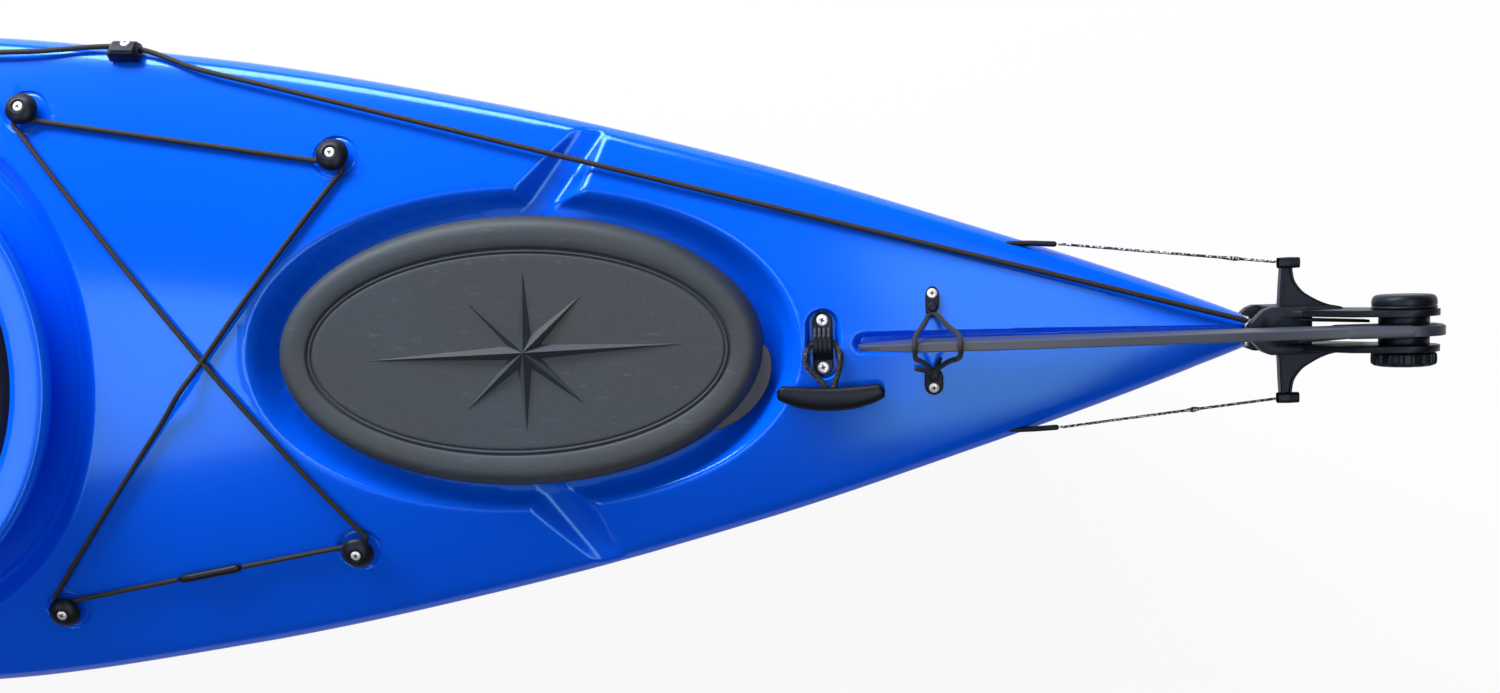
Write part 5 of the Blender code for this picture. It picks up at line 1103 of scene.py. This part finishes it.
TUBE, LINE = 0.0025, 0.0012
for word, side in SIDES:
    tube = through(tube_route(side), 0.045)
    piece(f"line_tube_{word}", cord_mesh(through(tube, 0.012), TUBE), nylon, "hull", [f"steering_tube_{word}"])
    ahead = (tube[-1] - tube[-2]).normalized()
    start = tube[-1] + ahead * 0.0006
    middle = Vector((PIN_X + 0.021, side * ARM_REACH, ARM_TOP - 0.0055))
    back = start - middle
    back.z = 0
    end = middle + back.normalized() * (0.006 + 0.0024)
    run = through([start, start + ahead * 0.004, start.lerp(end, 0.5), end], 0.006)
    line = piece(f"rudder_line_{word}", cord_mesh(run, LINE, 10, knotted(0.80 if side > 0 else 0.62)), steel_line, None,
                 [f"stern_line_{word}"])
    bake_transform(line)

# Lift line fittings: a nylon block on the deck's edge with one screw, a cleat beside the cockpit, and the
# line's tail with a moulded pull on its end.
def dressed(node, name, material, body, rim, segments=3, carve=None):
    """A node's own shape as one welded mesh whose edges are rounded."""
    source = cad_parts[node]
    bm = bmesh.new()
    bm.from_mesh(source.data)
    bmesh.ops.transform(bm, matrix=source.matrix_world, verts=bm.verts)
    bmesh.ops.remove_doubles(bm, verts=bm.verts, dist=2e-6)
    bmesh.ops.dissolve_limit(bm, angle_limit=math.radians(1.0), verts=bm.verts, edges=bm.edges)
    bmesh.ops.recalc_face_normals(bm, faces=bm.faces)
    if carve:
        carve(bm)
    made = piece(name, bm, material, body, [node])
    soft = made.modifiers.new("rounded edges", "BEVEL")
    soft.width = rim
    soft.segments = segments
    soft.limit_method = "ANGLE"
    soft.angle_limit = math.radians(28)
    soft.harden_normals = True
    return made


dressed("lift_line_fairlead", "lift_block", nylon, "hull", 0.0012)
dressed("lift_line_cleat", "lift_cleat", nylon, "hull", 0.0012)
screw(deck_place(*edge_place(*FAIRLEAD)), (0.0015, 0.0042, 0.0128), 0.0046)
for place in (-0.012, 0.012):
    screw(deck_place(*edge_place(*CLEAT)), (place, 0.0042, 0.0118), 0.0034)


def tail_route():
    """The tail's middle line, where its pull starts and the way that the pull points."""
    first = lift_path[0]
    ahead = (first - lift_path[1]).normalized()
    forward = Vector((ahead.x, ahead.y, 0)).normalized()
    mouth = first + ahead * 0.022
    grip = mouth + forward * 0.140
    grip.z = max(grip.z, plain_deck(grip.x, grip.y) + 0.0095)
    found = [first + ahead * CLEAR, mouth]
    for step in range(1, 6):
        spot = mouth.lerp(grip - forward * CLEAR, step / 5)
        spot.z = max(spot.z, plain_deck(spot.x, spot.y) + 0.0038)
        found.append(spot)
    return found, grip, forward


tail, grip, forward = tail_route()
line = piece("lift_tail", cord_mesh(through(tail, 0.008), CORD), line_braid, None, ["lift_line_tail"])
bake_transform(line)
pull_frame = Matrix.Translation(grip) @ forward.to_track_quat("Z", "Y").to_matrix().to_4x4()
pull_profile = [(0.0, 0.0), (0.0040, 0.0), (0.0052, 0.001), (0.0052, 0.008), (0.0058, 0.011), (0.0082, 0.016),
                (0.0088, 0.022), (0.0080, 0.028), (0.0045, 0.0315), (0.0, 0.0315)]
piece("lift_handle_grip", spun(rounded(pull_profile), pull_frame, 40), nylon, "lift_handle", ["lift_pull"])

# Rudder head: two moulded nylon halves that clasp the gudgeon, each with an arm for a steering line and a
# cheek for the blade's pivot; the arms' top faces are sunk inside a rim. Bracket, pin and bolt are stainless.
def satin_steel():
    spot = place_of((1, 1, 40))
    grain = noise(spot, 60.0, 4.0)
    return {
        "Base Color": mix(grain, rgb(168, 170, 172), rgb(196, 198, 200)), "Metallic": 1.0,
        "Roughness": 0.24 + 0.14 * grain, "Normal": bump(grain, 0.00005, 0.3)}


satin = finish("satin stainless", satin_steel)


def without_arm(side):
    """Cuts the arm off beside the lug, where a smoother one takes its place."""
    def carve(bm):
        bmesh.ops.bisect_plane(bm, geom=bm.verts[:] + bm.edges[:] + bm.faces[:], dist=1e-6,
                               plane_co=(0, side * 0.0206, 0), plane_no=(0, side, 0), clear_outer=True)
        capped(bm)
    return carve


def arm_mesh(side):
    """An arm with a long concave fillet towards the cheek, and its top face sunk inside a rim."""
    front = fair(((0.0150, 0.0118), (0.0240, 0.0140), (0.0400, 0.0148), (ARM_REACH, 0.0160)))
    back = fair(((0.0150, 0.0690), (0.0190, 0.0670), (0.0220, 0.0550), (0.0275, 0.0430), (0.0350, 0.0325),
                 (0.0455, 0.0262), (ARM_REACH, 0.0244)))
    section = np.array(((0, 0.0, -0.0102), (0, 0.0, -0.0008), (0, 0.0008, 0.0), (0, 0.0021, 0.0),
                        (0, 0.0028, -0.0018), (1, -0.0028, -0.0018), (1, -0.0021, 0.0), (1, -0.0008, 0.0),
                        (1, 0.0, -0.0008), (1, 0.0, -0.0102), (1, -0.0008, -0.0110), (0, 0.0008, -0.0110)))

    def place(u, v):
        across = 0.0150 + 0.0435 * v ** 1.5
        which = section[np.rint(u * len(section)).astype(int) % len(section)]
        x = np.where(which[:, 0] > 0, back(across), front(across)) + which[:, 1]
        return PIN_X + x, side * across, ARM_TOP + which[:, 2]

    return capped(sheet_of(len(section), 64, place, closed=True))


for word, side in SIDES:
    dressed(f"rudder_housing_{word}", f"head_half_{word}", nylon, "rudder_head", 0.0010, 3, without_arm(side))
    piece(f"head_arm_{word}", arm_mesh(side), nylon, "rudder_head", sharp=35)
    web = slab([(x, side * y) for x, y in ((1.992, 0.0108), (1.992, 0.0080), (2.052, 0.0052), (2.052, 0.0076))],
               0.296, 0.3150, 0.0006)
    piece(f"head_web_{word}", web, nylon, "rudder_head", sharp=40)
    middle = Vector((PIN_X + 0.0220, side * ARM_REACH, ARM_TOP - 0.0032))
    ends = [middle + Vector((way * 0.0088, 0, 0)) for way in (-1, 1)]
    roller = bar_mesh(ends, [0.0046, 0.0049, 0.0046], [0.0050, 0.0054, 0.0050], 3.0, 28, 36)
    piece(f"arm_roller_{word}", roller, nylon, "rudder_head")
    dressed(f"hub_washer_{word}", f"hub_ring_{word}", nylon, "rudder_head", 0.0005, 2)
dressed("stern_bracket", "gudgeon", satin, "hull", 0.0006, 2)
dressed("rudder_pin", "yaw_pin", satin, "hull", 0.0003, 2)
dressed("pivot_bolt", "blade_bolt", satin, "rudder_head", 0.0003, 2)

# Hub caps: on the pivot bolt's starboard end a smooth nylon cap with a low step at its foot, and on its port
# end a hand nut of the same nylon with a ribbed rim.
CAP, CAP_HEIGHT = 0.0258, 0.0120


def across_y(side):
    """A frame on the hub's face whose Z points away from the blade."""
    spot = Matrix.Translation((PIVOT[0], side * 0.0179, PIVOT[2]))
    return spot @ Matrix.Rotation(-side * math.pi / 2, 4, "X")


cap_profile = [(0.0, 0.0085), (0.0045, 0.0085), (0.0045, 0.0), (CAP - 0.0012, 0.0), (CAP, 0.0008), (CAP, 0.0018),
               (CAP - 0.0007, 0.0023), (CAP - 0.0007, 0.0032), (CAP - 0.0002, 0.0038), (CAP - 0.0004, 0.0080),
               (CAP - 0.0022, 0.0110), (CAP - 0.0055, CAP_HEIGHT), (0.012, CAP_HEIGHT), (0.0, CAP_HEIGHT)]
piece("smooth_cap", spun(rounded(cap_profile), across_y(1), 72), nylon, "rudder_head", ["pivot_knob"], sharp=60)


def nut_mesh():
    """The nut, its rim cut by sixteen ribs."""
    profile = rounded((
        (0.0, 0.0085), (0.0045, 0.0085), (0.0045, 0.0), (CAP - 0.0040, 0.0), (CAP - 0.0006, 0.0010), (CAP, 0.0030),
        (CAP, 0.0090), (CAP - 0.0010, 0.0108), (CAP - 0.0042, 0.0118), (CAP - 0.0060, CAP_HEIGHT),
        (CAP - 0.0066, 0.0108), (0.0, 0.0104)))

    def place(u, v):
        radius, height = along(profile, v)
        angle = u * 2 * math.pi
        rib = np.maximum(0.0, np.cos(16 * angle)) ** 0.6
        grip = np.clip((radius - CAP + 0.0052) / 0.004, 0.0, 1.0)
        radius = radius - 0.0018 * (1 - rib) * grip
        return radius * np.cos(angle), radius * np.sin(angle), height

    bm = sheet_of(192, len(profile) - 1, place, closed=True)
    bmesh.ops.transform(bm, matrix=across_y(-1), verts=bm.verts)
    return bm


piece("hand_nut", nut_mesh(), nylon, "hand_nut", ["pivot_nut"], sharp=50)

# Rudder blade: a moulded grey foil with a thick round root on the pivot and a blunt back edge, swept and
# rounded at the tip. It lies edge up in the deck's groove when it is stowed.
def grey_blade():
    tone = noise(place_of((2, 10, 8)), 4.0, 4.0)
    scratches = noise(place_of((3, 120, 60), (0, 0.4, 0)), 8.0, 5.0, 0.7).step(0.62, 0.74)
    pebble = noise(place_of(), 1100.0, 2.0)
    return {
        "Base Color": mix(scratches * 0.35, mix(tone, rgb(46, 53, 70), rgb(58, 66, 84)), rgb(100, 106, 118)),
        "Roughness": 0.40 + 0.14 * tone + 0.12 * scratches,
        "Normal": bump(pebble, 0.00005, 0.35),
    }


blade_grey = finish("moulded grey", grey_blade)


def blade_mesh():
    """The blade as stowed: spans run from behind the pivot to the tip, shares from the lower edge up."""
    root, length, corner = BLADE_ROOT, 0.455, 0.055
    tip = BLADE_TIP - root
    upper = fair(((0.0, root), (0.07, root - 0.004), (0.16, root + 0.004), (0.33, tip), (length, tip)))
    width = fair(((0.0, 0.25), (0.10, 0.80), (0.20, 1.0), (0.93, 1.0), (0.985, 0.92), (1.0, 0.72)))
    shares = np.array([0, 0.015, 0.04, 0.08, 0.13, 0.2, 0.32, 0.5, 0.68, 0.8, 0.9, 0.94, 0.97, 0.985, 0.995, 1.0])
    spans = np.concatenate([-root * np.cos(np.linspace(0.06, math.pi / 2, 18)), np.linspace(0.004, 0.050, 10),
                            [0.0512, 0.0524, 0.0536], np.linspace(0.058, length - corner, 44),
                            length - corner + corner * np.sin(np.linspace(0.06, 1.52, 20))])
    low = np.full(len(spans), -root)
    high = upper(np.maximum(spans, 0))
    behind = spans < 0
    high[behind] = np.sqrt(root ** 2 - spans[behind] ** 2)
    low[behind] = -high[behind]
    past = np.maximum(spans - length + corner, 0.0)
    fall = corner - np.sqrt(np.maximum(corner ** 2 - past ** 2, 0.0))
    low, high = low + fall * 0.75, high - fall * 0.55
    thick = 0.005 * np.interp(spans, [0.050, 0.0536], [1.0, 0.84]) * (1 - 0.55 * past / corner)
    round_root = np.clip((root + spans) / 0.004, 0.0, 1.0)
    thick = thick * (0.55 + 0.45 * np.sqrt(round_root))

    def place(u, v):
        i = np.rint(v * (len(spans) - 1)).astype(int)
        k = np.rint(u * 2 * len(shares)).astype(int) % (2 * len(shares))
        side = np.where(k < len(shares), 1.0, -1.0)
        share = shares[np.where(k < len(shares), k, 2 * len(shares) - 1 - k)]
        taper = np.where(spans[i] < 0.0, np.maximum(width(np.minimum(share, 1 - share)), 0.8), width(share))
        return PIVOT[0] - spans[i], side * thick[i] * taper, PIVOT[2] + low[i] + (high[i] - low[i]) * share

    return capped(sheet_of(2 * len(shares), len(spans) - 1, place, closed=True))


piece("blade_skin", blade_mesh(), blade_grey, "blade", ["rudder_blade"], sharp=40)

# Seat: a moulded plastic pan with raised wings on a block of closed cell foam. The bulkheads that
# close the holds are the same foam, and the hatch rims are nylon.
def grained_plastic():
    spot = place_of()
    grain = noise(spot, 900.0, 4.0, 0.6)
    tone = noise(spot, 7.0, 3.0)
    return {
        "Base Color": mix(tone, rgb(30, 31, 34), rgb(40, 41, 45)), "Roughness": 0.46 + 0.16 * tone,
        "Normal": bump(grain, 0.00015, 0.5)}


def closed_cell():
    spot = place_of()
    cells = Value.node("ShaderNodeTexVoronoi", Vector=spot, Scale=420.0)
    tone = noise(spot, 12.0, 4.0)
    return {
        "Base Color": mix(tone, rgb(92, 93, 96), rgb(112, 113, 116)), "Roughness": 0.90,
        "Normal": bump(cells, 0.0004, 0.5)}


def woven():
    across, _, rise = place_of((900, 900, 900)).parts()
    weave = (across.maths("SINE") * rise.maths("SINE")) * 0.5 + 0.5
    fade = noise(place_of(), 9.0, 4.0)
    return {
        # The weave is painted darker where its bump is low: painted shade in the weave's dips.
        "Base Color": mix(fade, mix(weave, rgb(22, 23, 27), rgb(46, 47, 53)), rgb(52, 53, 60)), "Roughness": 0.86,
        "Sheen Weight": 0.15, "Normal": bump(weave, 0.0003, 0.7)}


pan_plastic = finish("grained plastic", grained_plastic)
foam = finish("closed cell foam", closed_cell)
cloth = finish("woven cloth", woven)

SEAT_X, SEAT_LONG, SEAT_HALF, SEAT_THICK = STERN - 1.385, 0.330, 0.170, 0.005
SEAT_FLOOR = WALL + 0.045 + CLEAR


def seat_mesh():
    """The pan as one closed skin, over the top and back under it."""
    rows = 76

    def surface(across, u):
        dish = 0.020 * (1 - np.cos(math.pi * np.minimum(1, 2 * (1 - u)))) / 2
        wing = 0.085 * (np.maximum(np.abs(across) - 0.62, 0.0) / 0.38) ** 1.5 * (0.55 + 0.45 * u)
        nose = 0.018 * np.maximum(0.25 - u, 0.0) / 0.25
        channel = 0.0012 * np.maximum(np.cos(across * 30), 0.0) ** 6 * (np.abs(across) < 0.55)
        return SEAT_FLOOR + SEAT_THICK + wing + nose * (1 - np.abs(across)) + dish * 0.3 - channel

    def place(u, v):
        k = np.rint(u * 2 * rows).astype(int) % (2 * rows)
        over = k < rows
        share = np.where(over, k / (rows - 1), (2 * rows - 1 - k) / (rows - 1))
        across = 2 * share - 1
        slope = (surface(across + 0.01, v) - surface(across - 0.01, v)) / (0.02 * SEAT_HALF)
        size = np.sqrt(1 + slope * slope)
        rim = np.clip((1 - np.maximum(np.abs(across), np.abs(2 * v - 1))) * SEAT_HALF / 0.003, 0.0, 1.0)
        soft = 0.0015 * (1 - np.sqrt(1 - (1 - rim) ** 2))
        wall = np.where(over, soft, SEAT_THICK - soft)
        x = SEAT_X - SEAT_LONG / 2 + SEAT_LONG * v
        return x, across * SEAT_HALF + wall * slope / size, surface(across, v) - wall / size

    return capped(sheet_of(2 * rows, 90, place, closed=True))


piece("seat_pan", seat_mesh(), pan_plastic, "hull", ["seat"], sharp=50)
dressed("seat_block", "seat_foam", foam, "hull", 0.003)
for end in ("stern", "bow"):
    dressed(f"{end}_bulkhead", f"{end}_foam_wall", foam, "hull", 0.001, 2)
    dressed(f"{end}_hatch_rim", f"{end}_hatch_ring", nylon, "hull", 0.0005, 2)

# Backrest: a stuffed cloth band, sewn in three channels and piped round its edge, on a plastic tongue that
# hinges behind the seat.
REST = (0.742, 0.0, 0.0748)
REST_HALF = (0.135, 0.0875, 0.013)
REST_MIDDLE = REST[2] + 0.012 + REST_HALF[1]


def rest_middle(across):
    return REST[0] + 0.022 - 0.035 * across ** 2


def rest_place(across, angle, size=1.0):
    """A place on the band: across it, and round its section."""
    swell = REST_HALF[2] * size * (0.45 + 0.55 * np.sqrt(np.maximum(1 - across ** 2, 0)))
    half = (REST_HALF[1] - 0.0025) * (1 - 0.28 * across ** 4)
    rise = np.sign(np.sin(angle)) * np.abs(np.sin(angle)) ** 0.7
    return rest_middle(across) + swell * np.cos(angle), across * (REST_HALF[0] - 0.0025), REST_MIDDLE + half * rise


def stuffed(bm, most, voxel, pressure, frames=20):
    """Fills a closed shape by cloth simulation; no point moves further than most."""
    made = placed("rest_fill", baked("rest_fill", bm))
    grid = made.modifiers.new("grid", "REMESH")
    grid.mode = "VOXEL"
    grid.voxel_size = voxel
    even = bpy.data.meshes.new_from_object(made.evaluated_get(bpy.context.evaluated_depsgraph_get()))
    made.modifiers.clear()
    made.data = even
    start = np.array([v.co for v in even.vertices])
    fabric = made.modifiers.new("fabric", "CLOTH")
    fabric.settings.use_pressure = True
    fabric.settings.uniform_pressure_force = pressure
    fabric.settings.effector_weights.gravity = 0.0
    fabric.point_cache.frame_start, fabric.point_cache.frame_end = 1, frames
    for step in range(1, frames + 1):
        bpy.context.scene.frame_set(step)
    full = made.evaluated_get(bpy.context.evaluated_depsgraph_get()).data
    move = np.array([v.co for v in full.vertices]) - start
    made.modifiers.clear()
    size = np.linalg.norm(move, axis=1, keepdims=True)
    move *= np.minimum(1.0, most / np.maximum(size, 1e-9))
    for vert, spot in zip(even.vertices, start + move):
        vert.co = spot
    bpy.context.scene.frame_set(1)
    own = bmesh.new()
    own.from_mesh(made.data)
    bpy.data.objects.remove(made)
    bmesh.ops.smooth_vert(own, verts=own.verts, factor=0.5, use_axis_x=True, use_axis_y=True, use_axis_z=True)
    return own


def rest_pad():
    """The band, filled and then drawn in along its two seams."""
    def place(u, v):
        return rest_place((2 * v - 1) * 0.985, u * 2 * math.pi, 0.80)

    bm = capped(sheet_of(40, 60, place, closed=True))
    bmesh.ops.recalc_face_normals(bm, faces=bm.faces)
    bm = stuffed(bm, most=0.005, voxel=0.0045, pressure=4.0)
    bmesh.ops.subdivide_edges(bm, edges=bm.edges[:], cuts=1, use_grid_fill=True, smooth=0.0)
    for vert in bm.verts:
        across = vert.co.y / REST_HALF[0]
        middle = rest_middle(across)
        for seam in (-0.027, 0.027):
            off = abs(vert.co.z - REST_MIDDLE - seam) / 0.0055
            deep = 0.0042 * math.exp(-off * off) * max(0.0, 1 - abs(across) ** 6)
            vert.co.x -= math.copysign(min(deep, abs(vert.co.x - middle) * 0.6), vert.co.x - middle)
    return bm


pad = piece("backrest_pad", rest_pad(), cloth, "back_support", ["backrest"])
border = [rest_place(way * (2 * step / 60 - 1) * 0.985, way * math.pi / 2) for way in (1, -1) for step in range(61)]
piping = cord_mesh(through(border + border[:1], 0.003), 0.0016, 10)
piece("backrest_piping", piping, cloth, "back_support", ["backrest"])
tongue = slab([(0.7306, -0.055), (0.7386, -0.055), (0.7386, 0.055), (0.7306, 0.055)], 0.0500, 0.1048, 0.002)
slab([(0.7320, -0.052), (0.7660, -0.052), (0.7660, 0.052), (0.7320, 0.052)], 0.0970, 0.1046, 0.002, tongue)
piece("backrest_tongue", tongue, pan_plastic, "back_support", ["backrest"], sharp=40)

# Thigh braces and pedals: moulded plates under the coaming, and foot plates that slide on nylon tracks along
# the hull's sides, each on a thin line from its steering tube.
RAIL_HEIGHT, RAIL_DEPTH, RAIL_THICK, RAIL_LENGTH = 0.140, 0.024, 0.008, 0.420


def hull_inside(x, z):
    """The half breadth of the hull's inside at a height."""
    half = half_breadth(x)
    top = edge_height(x / STERN) - min(ROLL, 0.5 * half)
    depth = top - keel_height(x / STERN) - WALL
    share = min(max((top - z) / depth, 0.0), 1.0)
    return (half - WALL) * math.sin(math.acos(share ** (1 / 0.55))) ** 0.75


def rail_frame(side):
    """X along the rail towards the stern, Y inboard, Z up; origin at the rail's front."""
    ends = []
    for x in (STERN - 2.400, STERN - 2.400 + RAIL_LENGTH):
        ends.append(Vector((x, side * (hull_inside(x, RAIL_HEIGHT - RAIL_DEPTH / 2) - 0.0022), RAIL_HEIGHT)))
    along_it, up = (ends[1] - ends[0]).normalized(), Vector((0, 0, 1))
    inboard = up.cross(along_it) * -side
    return frame_of(ends[0], along_it, inboard, up)


def pedal_ribs(side):
    """Seven grip bars across the foot plate."""
    turned = rail_frame(side)
    near = 0.010 + RAIL_THICK + 0.0024
    bm = None
    for number in range(7):
        u = 0.14 + 0.12 * number
        rise = 0.110 * (u - 0.5)
        face = RAIL_LENGTH / 2 + 0.014 * (2 * u - 1) ** 2 + 0.008
        far = near + 0.075 * (1 - 0.25 * (2 * u - 1) ** 2)
        ends = [turned @ Vector((face, near + 0.006, rise)), turned @ Vector((face, far - 0.006, rise))]
        bm = bar_mesh(ends, [0.0022] * 3, [0.0016] * 3, 2.2, 14, 16, bm=bm)
    return bm


for word, side in SIDES:
    carriage = f"pedal_carriage_{word}"
    dressed(f"thigh_brace_{word}", f"brace_{word}", pan_plastic, "hull", 0.0012)
    dressed(f"foot_rail_{word}", f"track_{word}", nylon, "hull", 0.0008, 2)
    dressed(f"pedal_{word}", f"foot_plate_{word}", nylon, carriage, 0.0010, 2)
    piece(f"foot_plate_ribs_{word}", pedal_ribs(side), nylon, carriage)
    first, second = (Vector(p) for p in tube_route(side)[:2])
    ahead = (first - second).normalized()
    start = first + ahead * 0.0006
    turned = rail_frame(side)
    clip = Vector((RAIL_LENGTH / 2 + 0.024, 0.016, RAIL_DEPTH / 2 + 0.006))
    chosen = [start, start + ahead * 0.01]
    for x in (0.55, 0.30, 0.12):
        chosen.append(Vector((x, side * (hull_inside(x, 0.15) - 0.018), 0.152)))
    bend = turned @ (clip + Vector((0.17, 0.002, 0.008)))
    chosen += [bend, turned @ clip]
    line = piece(f"pedal_cord_{word}", cord_mesh(through(through(chosen, 0.08), 0.02), LINE, 10), steel_line, None,
                 [f"pedal_line_{word}"])
    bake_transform(line)

# Screws: all the pan head screws of the deck's fittings as one stainless piece; each is placed and turned
# with the fitting that it holds.
piece("deck_screws", screws, steel, "hull", sharp=50)

# Stage: a pale floor and a white surround, both brighter to the camera than to the boat. A long soft lamp
# stands high on the starboard side, a weak one overhead, and two broad boxes only give the deck its sheen.
floor_mesh = bmesh.new()
bmesh.ops.create_grid(floor_mesh, x_segments=1, y_segments=1, size=12.0)
bmesh.ops.translate(floor_mesh, verts=floor_mesh.verts, vec=(0, 0, -0.0005))


def pale_paint():
    return {"Base Color": mix(noise(place_of(), 1.5), rgb(250, 250, 250), rgb(253, 253, 253)), "Roughness": 0.9}


def seen_by(ray):
    """1 where a ray of that kind looks, else 0."""
    return Value.node("ShaderNodeLightPath", output=f"Is {ray} Ray")


pale = finish("pale floor", pale_paint)
paint = Value(Value.tree.nodes["Principled BSDF"].outputs[0])
glow = Value.node("ShaderNodeEmission")
both = Value.node("ShaderNodeMixShader", _0=seen_by("Camera") * 0.91, _1=paint, _2=glow)
Value.plug(Value.tree.nodes["Material Output"].inputs[0], both)
piece("floor", floor_mesh, pale, smooth=False)


def lamp(name, place, aim, size, power, gloss_only=False):
    """A rectangular lamp; gloss_only keeps it to reflections."""
    light = bpy.data.lights.new(name, "AREA")
    light.shape = "RECTANGLE"
    light.size, light.size_y = size
    light.energy = power
    made = placed(name, light)
    made.location = place
    made.visible_diffuse = not gloss_only
    made.rotation_euler = (Vector(aim) - Vector(place)).to_track_quat("-Z", "Y").to_euler()


lamp("key", (-0.5, 3.2, 1.7), (1.1, 0.0, 0.25), (3.8, 1.2), 290)
lamp("overhead", (1.2, -0.1, 3.6), (1.2, 0.0, 0.3), (4.2, 1.5), 16)
lamp("bow_box", (-1.15, -0.35, 3.6), (-1.15, -0.35, 0.0), (1.8, 2.2), 42, True)
lamp("stern_box", (2.12, -0.35, 3.6), (2.12, -0.35, 0.0), (1.05, 5.2), 72, True)

world = bpy.data.worlds.new("surround")
bpy.context.scene.world = world
world.use_nodes = True
Value.tree = world.node_tree
background = Value.tree.nodes["Background"]
Value.plug(background.inputs["Strength"], 0.34 + 0.66 * seen_by("Camera") - 0.29 * seen_by("Glossy"))
background.inputs["Color"].default_value = (1, 1, 1, 1)

# Camera: the photograph's view of the stern, from 1.6 m above the floor, looking almost straight down
# through a moderately wide lens.
camera_data = bpy.data.cameras.new("camera")
camera_data.lens = 36.0
camera_data.sensor_width = 36.0
camera_data.sensor_fit = "HORIZONTAL"
camera_data.shift_y = 0.05
camera = placed("camera", camera_data)
camera.location = (1.6294, 0.0801, 1.6425)
camera.rotation_euler = [math.radians(a) for a in (-6.44, 4.683, -2.022)]
bpy.context.scene.camera = camera
bpy.context.scene.view_settings.view_transform = "Standard"
